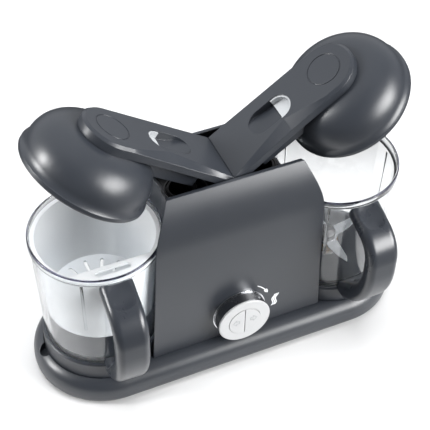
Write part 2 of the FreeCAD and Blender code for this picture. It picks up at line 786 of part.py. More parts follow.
def build_drive():
    plate = box("motor_plate", (-d.mount_half_width, -d.mount_half_depth, d.base_height),
                (d.mount_half_width, d.mount_half_depth, mount_top))
    shaft_bore = d.motor_shaft_radius + d.running_fit
    shaft_holes = [cylinder(f"{side}_shaft_hole", shaft_bore, cavity_top, mount_top + OVERRUN,
                            d.motor_across * sign) for side, sign in SIDES]
    node(cut("motor_carrier", plate, *shaft_holes), "motor_mount")

    bushes = []
    for side, sign in SIDES:
        motor_x, axis = d.motor_across * sign, d.jug_spacing * sign
        can_bore = d.rotor_radius + d.loose_fit * 2
        can = turned(f"{side}_can", [
            (can_bore, mount_top), (d.motor_radius, mount_top), (d.motor_radius, motor_top),
            (shaft_bore, motor_top), (shaft_bore, motor_top - d.motor_cap),
            (can_bore, motor_top - d.motor_cap),
        ])
        node(move(can, motor_x), f"{side}_motor")

        core_bottom = mount_top + d.rotor_end_gap
        core_top = motor_top - d.motor_cap - d.rotor_end_gap
        rotor = join(
            f"{side}_rotor_parts",
            turned(f"{side}_motor_pulley", pulley_profile(
                d.motor_pulley_radius, d.motor_shaft_radius, pulley_bottom, motor_top + d.motor_shaft_tail)),
            cylinder(f"{side}_rotor_core", d.rotor_radius, core_bottom, core_top))
        node(move(rotor, motor_x), f"{side}_motor_rotor")

        head_top = drive_head_bottom + d.drive_head_height
        spindle = join(
            f"{side}_spindle_parts",
            turned(f"{side}_spindle_pulley", pulley_profile(
                d.spindle_pulley_radius, d.spindle_radius, pulley_bottom, drive_head_bottom + OVERRUN)),
            hexagon(f"{side}_drive_head", d.drive_head_radius, drive_head_bottom, head_top))
        node(move(spindle, axis), f"{side}_drive_spindle")

        flange_top = d.well_floor + d.bush_flange_thickness
        bush_bore = d.spindle_radius + d.running_fit
        bush = turned(f"{side}_spindle_bush", [
            (bush_bore, pulley_top + d.loose_fit), (d.bush_radius, pulley_top + d.loose_fit),
            (d.bush_radius, d.well_floor), (d.bush_flange_radius, d.well_floor),
            (d.bush_flange_radius, flange_top), (bush_bore, flange_top),
        ])
        bushes.append(move(bush, axis))

        small, large = (r + d.belt_gap for r in (d.motor_pulley_radius, d.spindle_pulley_radius))
        span = d.jug_spacing - d.motor_across
        loops = [belt_outline(small + d.belt_thickness, large + d.belt_thickness, d.motor_across, span),
                 belt_outline(small, large, d.motor_across, span)]
        flange = d.pulley_flange_thickness + d.belt_gap
        belt = padded(f"{side}_belt_loop", "XY_Plane", loops, d.pulley_width - flange * 2,
                      pulley_bottom + flange)
        if sign < 0:
            belt.Placement = FreeCAD.Placement(V(0, 0, 0), FreeCAD.Rotation(V(0, 0, 1), 180))
        node(belt, f"{side}_belt")
    node(join("bushes", *bushes), "spindle_bushes")


# Jugs: clear bowl on a dark collar, handle, blade in its bush; all drawn about the jug's own axis

def build_jug(side, sign):
    axis = d.jug_spacing * sign
    plate_bottom = d.collar_top - d.collar_wall
    inside = d.collar_radius - d.collar_wall
    hole = d.blade_bush_radius + d.screw_fit
    collar = turned(f"{side}_collar_ring", [
        (inside, collar_bottom), (d.collar_radius, collar_bottom),
        (d.collar_radius, d.collar_top - d.collar_edge), (d.collar_radius - d.collar_edge, d.collar_top),
        (hole, d.collar_top), (hole, plate_bottom), (inside, plate_bottom),
    ])
    node(move(collar, axis), f"{side}_jug_collar")

    rim_inside = d.jug_rim_radius - d.jug_rim_wall
    ledge_inside = d.bowl_shoulder_radius - d.bowl_wall
    bowl = turned(f"{side}_bowl_wall", [
        (hole, d.collar_top), (d.bowl_foot_radius, d.collar_top),
        (d.bowl_shoulder_radius, shoulder_height), (d.jug_rim_radius, shoulder_height),
        (d.jug_rim_radius, d.jug_rim_height), (rim_inside, d.jug_rim_height), (rim_inside, shoulder_height),
        (ledge_inside, shoulder_height), (d.bowl_foot_radius - d.bowl_wall, bowl_floor),
        (d.bowl_hub_radius, bowl_floor), (d.bowl_hub_radius, hub_top), (hole, hub_top),
    ])
    node(move(bowl, axis), f"{side}_jug_bowl")

    bush_bore = d.blade_shaft_radius + d.running_fit
    bush_flange_top = hub_top + d.bush_flange_thickness
    bush = turned(f"{side}_bush_sleeve", [
        (bush_bore, plate_bottom), (d.blade_bush_radius, plate_bottom), (d.blade_bush_radius, hub_top),
        (d.bowl_hub_radius, hub_top), (d.bowl_hub_radius, bush_flange_top), (bush_bore, bush_flange_top),
    ])
    node(move(bush, axis), f"{side}_blade_bush")
    build_handle(side, sign)
    build_blade(side, axis, bush_flange_top)


def build_handle(side, sign):
    inner_reach = d.handle_reach - d.handle_thickness
    inner_round = d.handle_bend_round - d.handle_thickness
    root_reach = d.bowl_foot_radius - d.bowl_wall * 2
    fall, level = sine(d.handle_slope), cosine(d.handle_slope)

    # The top slopes down to the bend, and its underside runs parallel to it
    bend_reach = d.handle_reach - d.handle_bend_round * (1 - fall)
    bend_height = grip_top + d.handle_bend_round * level
    root_top = bend_height + (bend_reach - root_reach) * fall / level
    under_reach = inner_reach - inner_round * (1 - fall)
    under_height = grip_top + inner_round * level
    root_under = under_height + (under_reach - root_reach) * fall / level

    # The heel curves in under the grip to a level foot at the collar
    heel_drop = grip_bottom - d.handle_foot_height
    heel_run = d.handle_reach - d.handle_foot_reach
    heel = (heel_run * heel_run + heel_drop * heel_drop) / (heel_run * 2)
    foot_reach = d.handle_foot_reach - d.handle_foot_round * (heel - heel_run) / heel
    foot_level = d.handle_foot_height - d.handle_foot_round * (1 - heel_drop / heel)
    inner_foot = foot_level + d.handle_thickness * 0.9
    inner_drop = grip_bottom - inner_foot
    inner_run = inner_reach - root_reach
    inner_heel = (inner_run * inner_run + inner_drop * inner_drop) / (inner_run * 2)

    # The rounds of both edges have to fit in the height of the foot, where the inner one meets the jug aslant
    foot_room = (inner_foot - foot_level) * ROUND_SHARE / (1 + inner_heel / inner_drop)
    edge_round = lesser(d.handle_edge_round, foot_room)
    profile = [
        (-root_reach, root_top), (-bend_reach, bend_height),
        (-d.handle_reach, grip_top, d.handle_bend_round),
        (-d.handle_reach, grip_bottom), (-d.handle_foot_reach, d.handle_foot_height, heel),
        (-foot_reach, foot_level, d.handle_foot_round), (-root_reach, foot_level),
        (-root_reach, inner_foot), (-inner_reach, grip_bottom, -inner_heel),
        (-inner_reach, grip_top),
        (-under_reach, under_height, -inner_round), (-root_reach, root_under),
    ]
    blank = padded(f"{side}_handle_blank", "YZ_Plane", [profile], d.handle_half_width * 2, symmetric=True)
    side_plane, wall = d.handle_half_width.number, root_reach.number

    def along_side(edge):
        bounds = edge.BoundBox
        on_side = abs(abs(bounds.Center.x) - side_plane) < TOUCHING and bounds.XLength < TOUCHING
        return on_side and bounds.YMin < -wall - TOUCHING

    round_edges(blank, edge_round, along_side)
    above_rim = d.jug_rim_height + d.handle_thickness
    envelope = turned(f"{side}_handle_seat", [
        (0, 0), (d.collar_radius, 0), (d.collar_radius, d.collar_top), (d.bowl_foot_radius, d.collar_top),
        (d.bowl_shoulder_radius, shoulder_height), (d.jug_rim_radius, shoulder_height),
        (d.jug_rim_radius, above_rim), (0, above_rim),
    ])
    dent = doc.addObject("Part::Ellipsoid", f"{side}_thumb_dent")
    bind(dent, "Radius1", d.thumb_dent_depth * 6)
    bind(dent, "Radius2", d.thumb_dent_width)
    bind(dent, "Radius3", d.thumb_dent_length)
    dent.Placement = FreeCAD.Placement(V(0, 0, 0), FreeCAD.Rotation(V(1, 0, 0), d.handle_slope.number))
    middle = bend_reach - d.thumb_dent_inset
    surface = bend_height + (bend_reach - middle) * fall / level
    move(dent, 0, -middle, surface + d.thumb_dent_depth * 5)
    grip = cut(f"{side}_handle_grip", blank, envelope, dent)
    grip.Placement = FreeCAD.Placement(V(0, 0, 0), FreeCAD.Rotation(V(0, 0, 1), d.handle_turn.number * sign))
    node(move(grip, d.jug_spacing * sign), f"{side}_jug_handle")


def build_blade(side, axis, bush_top):
    shaft_start = d.collar_top - d.collar_wall - d.loose_fit
    hub_bottom = bush_top + d.loose_fit
    knife_bottom = blade_seat
    knife_top = knife_bottom + d.knife_thickness
    core = turned(f"{side}_blade_core", [
        (0, d.socket_start), (d.socket_radius, d.socket_start), (d.socket_radius, shaft_start),
        (d.blade_shaft_radius, shaft_start), (d.blade_shaft_radius, hub_bottom),
        (d.blade_hub_radius, hub_bottom), (d.blade_hub_radius, knife_bottom),
        (d.blade_shaft_radius, knife_bottom), (d.blade_shaft_radius, knife_top),
        (d.blade_hub_radius, knife_top), (d.blade_hub_radius, knife_top + d.blade_hub_cap / 2),
        (d.blade_hub_radius / 2, blade_top), (0, blade_top),
    ])
    socket = hexagon(f"{side}_drive_socket", d.drive_head_radius + d.socket_gap, d.socket_start - OVERRUN,
                     shaft_start - d.socket_roof)
    node(move(cut(f"{side}_blade_carrier", core, socket), axis), f"{side}_blade_hub")

    ring = cylinder(f"{side}_knife_ring", d.knife_ring_radius, knife_bottom, knife_top)
    bore = cylinder(f"{side}_knife_bore", d.blade_shaft_radius + d.screw_fit, knife_bottom - OVERRUN,
                    knife_top + OVERRUN)
    pieces = [ring]
    half = d.knife_width / 2
    knife_start = d.blade_hub_radius + d.loose_fit * 2
    for i, angle in enumerate(KNIFE_ANGLES):
        knife = padded(f"{side}_knife_{i}", "XY_Plane", [[
            (knife_start, -half), (knife_start + half, -half), (d.knife_reach, half / 2, d.knife_reach * 1.5),
            (d.knife_reach - half, half), (knife_start, half),
        ]], d.knife_thickness)
        tilt = d.knife_tilt.number * (-1 if i % 2 == 0 else 0.5)
        flat_turn = FreeCAD.Rotation(V(0, 0, 1), angle)
        turn = flat_turn * FreeCAD.Rotation(V(0, 1, 0), tilt)
        pivot = V(knife_start.number, 0, 0)
        lift = V(0, 0, knife_bottom.number)
        knife.Placement = FreeCAD.Placement(lift + flat_turn.multVec(pivot) - turn.multVec(pivot), turn)
        pieces.append(knife)
    knife_set = cut(f"{side}_knife_set", join(f"{side}_knife_blank", *pieces), bore)
    node(move(knife_set, axis), f"{side}_blade_knives")


# Steam basket: a tapered cup that hangs on the left jug's inner ledge

def build_basket():
    flange_bottom = shoulder_height + d.loose_fit
    flange_top = flange_bottom + d.basket_flange_thickness
    flange_radius = d.jug_rim_radius - d.jug_rim_wall - d.loose_fit
    floor_radius = d.bowl_foot_radius - d.basket_foot_inset
    rim_radius = d.bowl_shoulder_radius - d.basket_rim_inset
    basket_floor = blade_top + d.basket_blade_gap
    inner_floor = basket_floor + d.basket_wall
    cup = turned("basket_cup", [
        (0, basket_floor), (floor_radius, basket_floor), (rim_radius, flange_bottom),
        (flange_radius, flange_bottom), (flange_radius, flange_top),
        (rim_radius - d.basket_wall, flange_top),
        (floor_radius - d.basket_wall, inner_floor), (0, inner_floor),
    ])
    chord = rim_radius - d.basket_lip_depth
    lip_disc = cylinder("lip_disc", rim_radius - d.basket_wall / 2, flange_bottom, flange_top)
    lip_limit = box("lip_limit", (-d.jug_rim_radius, -d.jug_rim_radius, flange_bottom - OVERRUN),
                    (d.jug_rim_radius, -chord, flange_top + OVERRUN))
    slot_y = chord + d.basket_lip_depth * 0.42
    slot = padded("lip_slot", "XY_Plane", [stadium((d.basket_slot_length - d.basket_slot_width) / 2,
                                                  d.basket_slot_width / 2)],
                  d.basket_flange_thickness + OVERRUN * 2, flange_bottom - OVERRUN)
    move(slot, 0, -slot_y)
    drains = []
    drain_straight = d.drain_slot_length - d.drain_slot_width
    for alias, count in DRAIN_COUNTS.items():
        middle = getattr(d, alias)
        copies = round(count)
        for i in range(copies):
            outline = stadium(drain_straight / 2, d.drain_slot_width / 2, middle)
            drain = padded(f"{alias}_{i}", "XY_Plane", [outline], d.basket_wall + OVERRUN * 2,
                           basket_floor - OVERRUN)
            drain.Placement = FreeCAD.Placement(V(0, 0, 0), FreeCAD.Rotation(V(0, 0, 1), 360 * i / copies))
            drains.append(drain)
    blank = join("basket_blank", cup, meet("basket_lip", lip_disc, lip_limit))
    node(move(cut("basket", blank, slot, *drains), -d.jug_spacing), "steam_basket")


# Lids, drawn closed about their own hinge axis with the arm along +X, then turned to the rest angle

def build_lid(side, sign):
    jug_x = d.jug_spacing - hinge_across
    half_width = arm_half_width
    top, bottom = d.arm_top_rise, -d.arm_bottom_drop
    turn = FreeCAD.Rotation(V(0, sign, 0), -d.lid_rest_angle.number)
    if sign < 0:
        turn = FreeCAD.Rotation(V(0, 1, 0), d.lid_rest_angle.number) * FreeCAD.Rotation(V(0, 0, 1), 180)

    def hang(obj, name):
        """Turns a lid piece open and carries it to its hinge."""
        obj.Placement = FreeCAD.Placement(V(0, 0, 0), turn)
        return node(move(obj, hinge_across * sign, 0, hinge_height), f"{side}_{name}")

    seats = [(jug_x + d.lid_screw_circle * math.cos(math.radians(angle)),
              d.lid_screw_circle * math.sin(math.radians(angle))) for angle in LID_SCREW_ANGLES]
    screw_bottom = bottom - d.dome_wall - d.screw_head_height
    pilot_top = screw_bottom + d.screw_length + OVERRUN
    pilots = [cylinder(f"{side}_lid_pilot_{i}", d.screw_shank_radius + d.screw_fit, screw_bottom, pilot_top,
                       x, y) for i, (x, y) in enumerate(seats)]

    # Arm
    front = -sign

    def section(reach, slope, drop):
        """Across the arm: its reach to the front, and how far its upper front edge slopes in and down."""
        corners = [(reach, bottom), (-arm_outer, bottom), (-arm_outer, top - d.arm_edge),
                   (d.arm_edge - arm_outer, top), (reach - slope, top), (reach, top - drop)]
        return [(y * front, z) for y, z in corners]

    edge_section = section(arm_outer, d.arm_edge, d.arm_edge)
    plank = lofted(f"{side}_arm_plank", [
        (-knuckle_radius - OVERRUN, section(half_width, as_size(0), d.facet_depth)),
        (d.facet_length, section(arm_outer, d.facet_width, d.facet_depth)),
        (d.facet_end, edge_section), (jug_x, edge_section),
    ])
    end_disc = cylinder(f"{side}_arm_end", arm_outer, bottom, top - d.arm_edge, jug_x)
    end_cone = cone(f"{side}_arm_end_slope", arm_outer, arm_outer - d.arm_edge, top - d.arm_edge, top, jug_x)
    knuckle = rod(f"{side}_knuckle", knuckle_radius, -half_width, half_width)
    reach = box(f"{side}_arm_reach", (0, -half_width, bottom), (jug_x + half_width, half_width, top))
    arm = meet(f"{side}_arm_blank", join(f"{side}_arm_whole", plank, end_disc, end_cone),
               join(f"{side}_arm_limits", knuckle, reach))
    scoop_radius = (d.scoop_run * d.scoop_run + d.scoop_depth * d.scoop_depth) / (d.scoop_depth * 2)
    scoop_x = d.slot_middle - d.slot_length / 2 + d.scoop_run
    scoop_z = top - d.scoop_depth + scoop_radius
    slot_half = (d.slot_length - d.slot_width) / 2

    def scoop(label, trim):
        """The oval finger slot with its hollow floor, drawn in by a trim."""
        oval = padded(f"{side}_{label}_oval", "XY_Plane",
                      [stadium(slot_half, d.slot_width / 2 - trim, d.slot_middle)],
                      top - bottom + OVERRUN, bottom)
        floor = rod(f"{side}_{label}_floor", scoop_radius - trim, -half_width, half_width, scoop_x, scoop_z)
        return meet(f"{side}_{label}", oval, floor)

    ear_room = d.ear_radius + d.loose_fit * 2
    ear_half = d.ear_thickness / 2 + d.loose_fit
    ear_slots = [box(f"{side}_ear_slot_{i}",
                     (-knuckle_radius - OVERRUN, ear_offset * end - ear_half, bottom - OVERRUN),
                     (ear_room, ear_offset * end + ear_half, ear_room)) for i, end in enumerate((-1, 1))]
    pin_bore = rod(f"{side}_pin_bore", d.hinge_pin_radius + d.running_fit, -pin_half_length - OVERRUN,
                   pin_half_length + OVERRUN)
    ring_inside = d.ring_radius - d.ring_width / 2
    ring_groove = cut(f"{side}_ring_groove",
                      cylinder(f"{side}_ring_disc", ring_inside + d.ring_width, top - d.ring_depth,
                               top + OVERRUN, jug_x),
                      cylinder(f"{side}_ring_core", ring_inside, top - d.ring_depth - OVERRUN,
                               top + OVERRUN * 2, jug_x))
    hang(cut(f"{side}_arm", arm, scoop("scoop", as_size(0)), ring_groove, pin_bore, *ear_slots, *pilots),
         "lid_arm")

    # Window set into the far end of the finger slot
    hang(cut(f"{side}_window", scoop("window_outer", d.screw_fit), scoop("window_inner", d.window_thickness),
             box(f"{side}_window_start", (0, -half_width, bottom),
                 (d.window_start, half_width, top + OVERRUN * 2)),
             box(f"{side}_window_top", (0, -half_width, top - d.window_recess),
                 (jug_x, half_width, top + OVERRUN * 2))), "slot_window")

    # Dome
    seal_bottom = d.jug_rim_height + d.lid_gap - hinge_height
    rim = seal_bottom + d.gasket_thickness
    lip_top = rim + d.lid_lip_height + d.lid_crease
    flare_start, flare_top = d.lid_rim_radius - d.lid_crease, rim + d.flare_height
    flare_run, flare_rise = flare_start - d.dome_radius, flare_top - lip_top
    flare_round = (flare_run * flare_run + flare_rise * flare_rise) / (flare_run * 2)
    wall = d.dome_wall
    inside = d.dome_radius - wall
    outline = [(d.lid_rim_radius, rim), (d.lid_rim_radius, lip_top - d.lid_crease), (flare_start, lip_top),
               (d.dome_radius, flare_top, -flare_round), (d.dome_top_radius, bottom, d.dome_round)]
    dome_form = turned(f"{side}_dome_form", [(0, rim)] + outline + [(0, bottom)])
    shell = turned(f"{side}_dome_shell", [(inside, rim)] + outline + [
        (0, bottom), (0, bottom - wall), (d.dome_top_radius - wall / 2, bottom - wall),
        (inside, flare_top, -(d.dome_round - wall)),
    ])
    for part in (dome_form, shell):
        move(part, jug_x)
    duct_bottom = neck_top + d.lid_gap + d.duct_seal_thickness - hinge_height
    channel_start = d.neck_across - hinge_across - d.neck_bore
    channel = box(f"{side}_channel",
                  (channel_start, -d.duct_channel_half_width, duct_bottom + d.duct_wall),
                  (jug_x - d.dome_top_radius, d.duct_channel_half_width, bottom - d.duct_wall))
    hang(cut(f"{side}_dome", shell, channel, *pilots), "lid_dome")

    # Steam duct under the arm, from the boiler's neck into the dome
    neck_x, neck_y = d.neck_across - hinge_across, d.boiler_depth * sign
    inlet = cylinder(f"{side}_inlet", d.neck_bore - d.duct_seal_width / 2, duct_bottom - OVERRUN,
                     duct_bottom + d.duct_wall + OVERRUN, neck_x, neck_y)
    block = box(f"{side}_duct_block", (d.duct_start, -d.duct_half_width, duct_bottom),
                (jug_x, d.duct_half_width, bottom))
    hang(cut(f"{side}_duct", block, dome_form, channel, inlet), "steam_duct")
    seal_disc = cylinder(f"{side}_seal_disc", d.neck_bore + d.boiler_wall,
                         duct_bottom - d.duct_seal_thickness, duct_bottom, neck_x, neck_y)
    hang(cut(f"{side}_seal", seal_disc, inlet), "duct_seal")

    # Inner liner with the steam nozzle, and the rim gasket
    liner_bottom = rim + d.liner_height
    liner_top = liner_bottom + d.liner_thickness
    liner_radius = inside - d.loose_fit
    nozzle = d.nozzle_bore + d.nozzle_wall
    liner = turned(f"{side}_liner_plate", [
        (d.nozzle_bore, liner_bottom - d.nozzle_wall), (nozzle, liner_bottom - d.nozzle_wall),
        (nozzle, liner_bottom), (liner_radius, liner_bottom), (liner_radius, liner_top), (nozzle, liner_top),
        (nozzle, liner_bottom + d.nozzle_height), (d.nozzle_bore, liner_bottom + d.nozzle_height),
    ])
    upstand = inside - d.screw_fit
    gasket_inside = upstand - d.gasket_lip
    gasket = turned(f"{side}_gasket_ring", [
        (gasket_inside, seal_bottom), (d.lid_rim_radius - d.gasket_lip / 2, seal_bottom),
        (d.lid_rim_radius - d.gasket_lip / 2, rim), (upstand, rim), (upstand, rim + d.gasket_upstand),
        (gasket_inside, rim + d.gasket_upstand),
    ])
    for part in (liner, gasket):
        move(part, jug_x)
    hang(cut(f"{side}_liner", liner, channel), "lid_liner")
    hang(group(f"{side}_gasket", gasket), "lid_gasket")
    hang(screws(f"{side}_lid_screw_set", seats, screw_bottom), "lid_screws")


# Controls: chromed dial ring, turning knob with two half-moon buttons, switch and board behind

def build_controls():
    z = d.knob_height
    ring_front = front_face - d.dial_ring_thickness
    ring = rod("dial_disc", d.dial_ring_radius, ring_front, front_face, 0, z)
    ring_hole = rod("dial_hole", d.dial_ring_radius - d.dial_ring_width, ring_front - OVERRUN,
                    front_face + OVERRUN, 0, z)
    node(cut("dial", ring, ring_hole), "dial_ring")

    barrel_back = front_face - d.loose_fit
    barrel_front = barrel_back - d.knob_barrel_length
    face_front = barrel_front - d.knob_face_thickness
    button_front = face_front - d.button_rise
    button_back = button_front + d.button_height
    pocket_back = button_back + d.button_travel + d.loose_fit
    switch_front = front_face + d.shell_wall
    switch_back = switch_front + d.switch_depth
    pocket_radius = d.button_radius + d.loose_fit
    barrel = rod("barrel_disc", d.knob_barrel_radius, barrel_front, ring_front - d.loose_fit, 0, z)
    neck = rod("barrel_neck", d.knob_neck_radius, ring_front - d.loose_fit - OVERRUN, barrel_back, 0, z)
    shaft = rod("barrel_shaft", d.knob_shaft_radius, barrel_back - OVERRUN, switch_back - d.shell_wall, 0, z)
    pocket = rod("barrel_pocket", pocket_radius, barrel_front - OVERRUN, pocket_back, 0, z)
    node(cut("barrel", join("barrel_blank", barrel, neck, shaft), pocket), "knob_barrel")

    edge = d.knob_face_edge
    face = turned("face_ring", [
        (pocket_radius, 0), (d.knob_face_radius - edge, 0), (d.knob_face_radius, edge, edge),
        (d.knob_face_radius, d.knob_face_thickness - edge),
        (d.knob_face_radius - edge, d.knob_face_thickness, edge), (pocket_radius, d.knob_face_thickness),
    ])
    face.Placement = FreeCAD.Placement(V(0, 0, 0), FreeCAD.Rotation(V(1, 0, 0), 90))
    node(move(face, 0, barrel_front, z), "knob_face")

    for side, sign in SIDES:
        disc = rod(f"{side}_button_disc", d.button_radius, button_front, button_back, 0, z)
        inner, outer = d.button_gap / 2 * sign, d.knob_face_radius * sign
        low_x, high_x = (inner, outer) if sign > 0 else (outer, inner)
        half = box(f"{side}_button_half", (low_x, button_front - OVERRUN, z - d.knob_face_radius),
                   (high_x, button_back + OVERRUN, z + d.knob_face_radius))
        node(meet(f"{side}_half_moon", disc, half), f"{side}_button")

    switch = box("switch_block", (-d.switch_half_width, switch_front, z - d.switch_half_width),
                 (d.switch_half_width, switch_back, z + d.switch_half_width))
    switch_bore = rod("switch_bore", d.knob_shaft_radius + d.running_fit, switch_front - OVERRUN,
                      switch_back - d.shell_wall + d.loose_fit, 0, z)
    node(cut("switch", switch, switch_bore), "rotary_switch")
    board = box("board", (-d.board_half_width, switch_back, d.board_bottom),
                (d.board_half_width, switch_back + d.board_thickness, d.board_bottom + d.board_height))
    node(board, "control_board")


build_base()
build_body()
build_hinges()
build_boilers()
build_drive()
build_controls()
build_basket()
for side, sign in SIDES:
    build_jug(side, sign)
    build_lid(side, sign)
doc.recompute()

failed = [obj.Name for obj in doc.Objects if {"Invalid", "Error"} & set(obj.State)]
for name, obj in nodes.items():
    if obj.Shape.isNull() or not obj.Shape.isValid() or not obj.Shape.Solids:
        failed.append(name)
if failed:
    raise RuntimeError(f"these objects did not build: {failed}")

os.makedirs("parts", exist_ok=True)
for name, obj in nodes.items():
    obj.Shape.exportStep(f"parts/{name}.step")
print(f"{len(nodes)} pieces written")
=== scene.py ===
import math

import bmesh
import bpy
from mathutils import Matrix, Vector


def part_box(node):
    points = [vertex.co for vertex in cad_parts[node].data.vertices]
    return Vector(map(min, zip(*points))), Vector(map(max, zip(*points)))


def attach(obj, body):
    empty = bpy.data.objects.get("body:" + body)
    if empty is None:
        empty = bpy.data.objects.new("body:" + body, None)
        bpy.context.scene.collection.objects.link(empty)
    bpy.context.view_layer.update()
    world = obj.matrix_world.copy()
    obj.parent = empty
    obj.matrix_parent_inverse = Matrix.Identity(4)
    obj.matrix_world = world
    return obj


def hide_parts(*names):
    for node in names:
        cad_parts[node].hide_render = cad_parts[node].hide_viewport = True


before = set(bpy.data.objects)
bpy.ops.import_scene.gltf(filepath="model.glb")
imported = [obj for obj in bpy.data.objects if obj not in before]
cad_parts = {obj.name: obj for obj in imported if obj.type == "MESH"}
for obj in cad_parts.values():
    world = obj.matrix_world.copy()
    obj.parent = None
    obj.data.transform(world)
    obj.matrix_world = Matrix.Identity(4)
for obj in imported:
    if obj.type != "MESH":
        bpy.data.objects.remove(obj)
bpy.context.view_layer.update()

MM = 0.001
SIDES = (("left", -1), ("right", 1))
JUG_ACROSS = 123.5 * MM
NECK_ACROSS, NECK_DEPTH = 40.0 * MM, -4.0 * MM
DECK_TOP = 200.0 * MM
FRONT_FACE = -52.8 * MM
KNOB_HEIGHT = 62.0 * MM
BUTTON_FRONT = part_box("left_button")[0].y
UPRIGHT = (math.pi / 2, 0, 0)


# Modelling by hand: selections, edits and modifiers

def clear_selection():
    """Leaves edit mode and drops every selection, so that an operator meets only the new piece."""
    if bpy.context.object and bpy.context.object.mode != "OBJECT":
        bpy.ops.object.mode_set(mode="OBJECT")
    bpy.ops.object.select_all(action="DESELECT")


def choose_all():
    bpy.ops.mesh.select_all(action="SELECT")


def begin(name, scale=(1, 1, 1)):
    """Names the primitive just added, puts its place into its mesh and opens it for editing."""
    piece = bpy.context.object
    piece.name = piece.data.name = name
    piece.scale = scale
    bpy.ops.object.transform_apply(location=True, rotation=True, scale=True)
    bpy.ops.object.mode_set(mode="EDIT")
    bpy.ops.mesh.select_mode(type="VERT")
    choose_all()
    return piece


def choose(piece, kind, rule):
    """Selects the vertices, edges or faces whose middle meets a rule."""
    bpy.ops.mesh.select_mode(type=kind)
    bpy.ops.mesh.select_all(action="DESELECT")
    mesh = bmesh.from_edit_mesh(piece.data)
    items = {"VERT": mesh.verts, "EDGE": mesh.edges, "FACE": mesh.faces}[kind]
    for item in items:
        if kind == "VERT":
            middle = item.co
        else:
            middle = sum((vertex.co for vertex in item.verts), Vector()) / len(item.verts)
        if rule(middle):
            item.select_set(True)
    mesh.select_flush_mode()
    bmesh.update_edit_mesh(piece.data)


def extrude_points(way):
    bpy.ops.mesh.extrude_vertices_move(TRANSFORM_OT_translate={"value": way})


def extrude_edges(way):
    bpy.ops.mesh.extrude_edges_move(TRANSFORM_OT_translate={"value": way})


def merge_doubles(reach=0.001 * MM):
    choose_all()
    bpy.ops.mesh.remove_doubles(threshold=reach)


def close_up():
    """Merges what meets and turns every face outwards."""
    merge_doubles()
    bpy.ops.mesh.normals_make_consistent(inside=False)


def leave(piece, angle=35):
    """Ends the editing and smooths the shading up to an angle."""
    bpy.ops.object.mode_set(mode="OBJECT")
    bpy.ops.object.shade_smooth_by_angle(angle=math.radians(angle))
    return piece


def join(pieces):
    """Joins separate pieces into the first of them."""
    clear_selection()
    for piece in pieces:
        piece.select_set(True)
    bpy.context.view_layer.objects.active = pieces[0]
    bpy.ops.object.join()
    return pieces[0]


def lathe(name, outline, axis, steps):
    """Draws a closed half section point by point, rounds its corners and spins it about an upright axis.

    Each point of the outline gives a radius, a height and the round of its corner, in millimetres.
    """
    clear_selection()
    x, y = axis
    points = [Vector((x + radius * MM, y, height * MM)) for radius, height, _ in outline]
    bpy.ops.mesh.primitive_plane_add(size=MM, location=points[0])
    piece = begin(name)
    bpy.ops.mesh.merge(type="CENTER")
    for start, end in zip(points, points[1:] + points[:1]):
        extrude_points(end - start)
    merge_doubles()
    for point, (_, _, corner_round) in zip(points, outline):
        if corner_round:
            choose(piece, "VERT", lambda spot: (spot - point).length < 0.01 * MM)
            bpy.ops.mesh.bevel(offset=corner_round * MM, offset_type="OFFSET", segments=5, affect="VERTICES")
    choose_all()
    bpy.ops.mesh.spin(steps=steps, angle=math.tau, center=(x, y, 0), axis=(0, 0, 1))
    close_up()
    return leave(piece)


# Shader nodes

def feed(tree, node, links):
    """Feeds a node's inputs with sockets or plain values."""
    for key, value in links.items():
        if isinstance(value, bpy.types.NodeSocket):
            tree.links.new(value, node.inputs[key])
        else:
            node.inputs[key].default_value = value


def add(tree, kind, links=None, **values):
    """Adds a node, sets its own values and feeds its inputs."""
    node = tree.nodes.new(kind)
    for key, value in values.items():
        setattr(node, key, value)
    feed(tree, node, links or {})
    return node


def maths(tree, operation, first, second=0.0, third=0.0, clamp=False):
    links = {0: first, 1: second, 2: third}
    return add(tree, "ShaderNodeMath", links, operation=operation, use_clamp=clamp).outputs[0]


def product(tree, first, second):
    return maths(tree, "MULTIPLY", first, second)


def blend_colour(tree, share, first, second):
    """Mixes two colours; the node keeps its colour sockets at 6 and 7."""
    return add(tree, "ShaderNodeMix", {0: share, 6: first, 7: second}, data_type="RGBA").outputs[2]


def ramp(tree, value, low, high, to_low=0.0, to_high=1.0):
    """Carries a value from one range to another, eased at both ends."""
    links = {"Value": value, "From Min": low, "From Max": high, "To Min": to_low, "To Max": to_high}
    return add(tree, "ShaderNodeMapRange", links, interpolation_type="SMOOTHSTEP").outputs[0]


def place_of(tree):
    return add(tree, "ShaderNodeTexCoord").outputs["Object"]


def split(tree, vector):
    """The X, Y and Z of a vector."""
    return add(tree, "ShaderNodeSeparateXYZ", {0: vector}).outputs


def stretched(tree, vector, scale):
    links = {0: vector, 1: scale}
    return add(tree, "ShaderNodeVectorMath", links, operation="MULTIPLY").outputs[0]


def noise(tree, vector, scale, detail=2.0, roughness=0.5):
    links = {"Vector": vector, "Scale": scale, "Detail": detail, "Roughness": roughness}
    return add(tree, "ShaderNodeTexNoise", links).outputs["Fac"]


def bump(tree, depth, height, normal=None, strength=1.0):
    """Lets a height tilt the surface, over softened edges where a normal is given."""
    links = {"Strength": strength, "Distance": depth, "Height": height}
    if normal is not None:
        links["Normal"] = normal
    return add(tree, "ShaderNodeBump", links).outputs[0]


def rgb(red, green, blue):
    return (red, green, blue, 1.0)


def paler(tone, share):
    return tuple(min(1.0, part * share) for part in tone[:3]) + (1.0,)


# Shader groups: effects that several finishes share

COLOUR, FLOAT, VECTOR = "NodeSocketColor", "NodeSocketFloat", "NodeSocketVector"


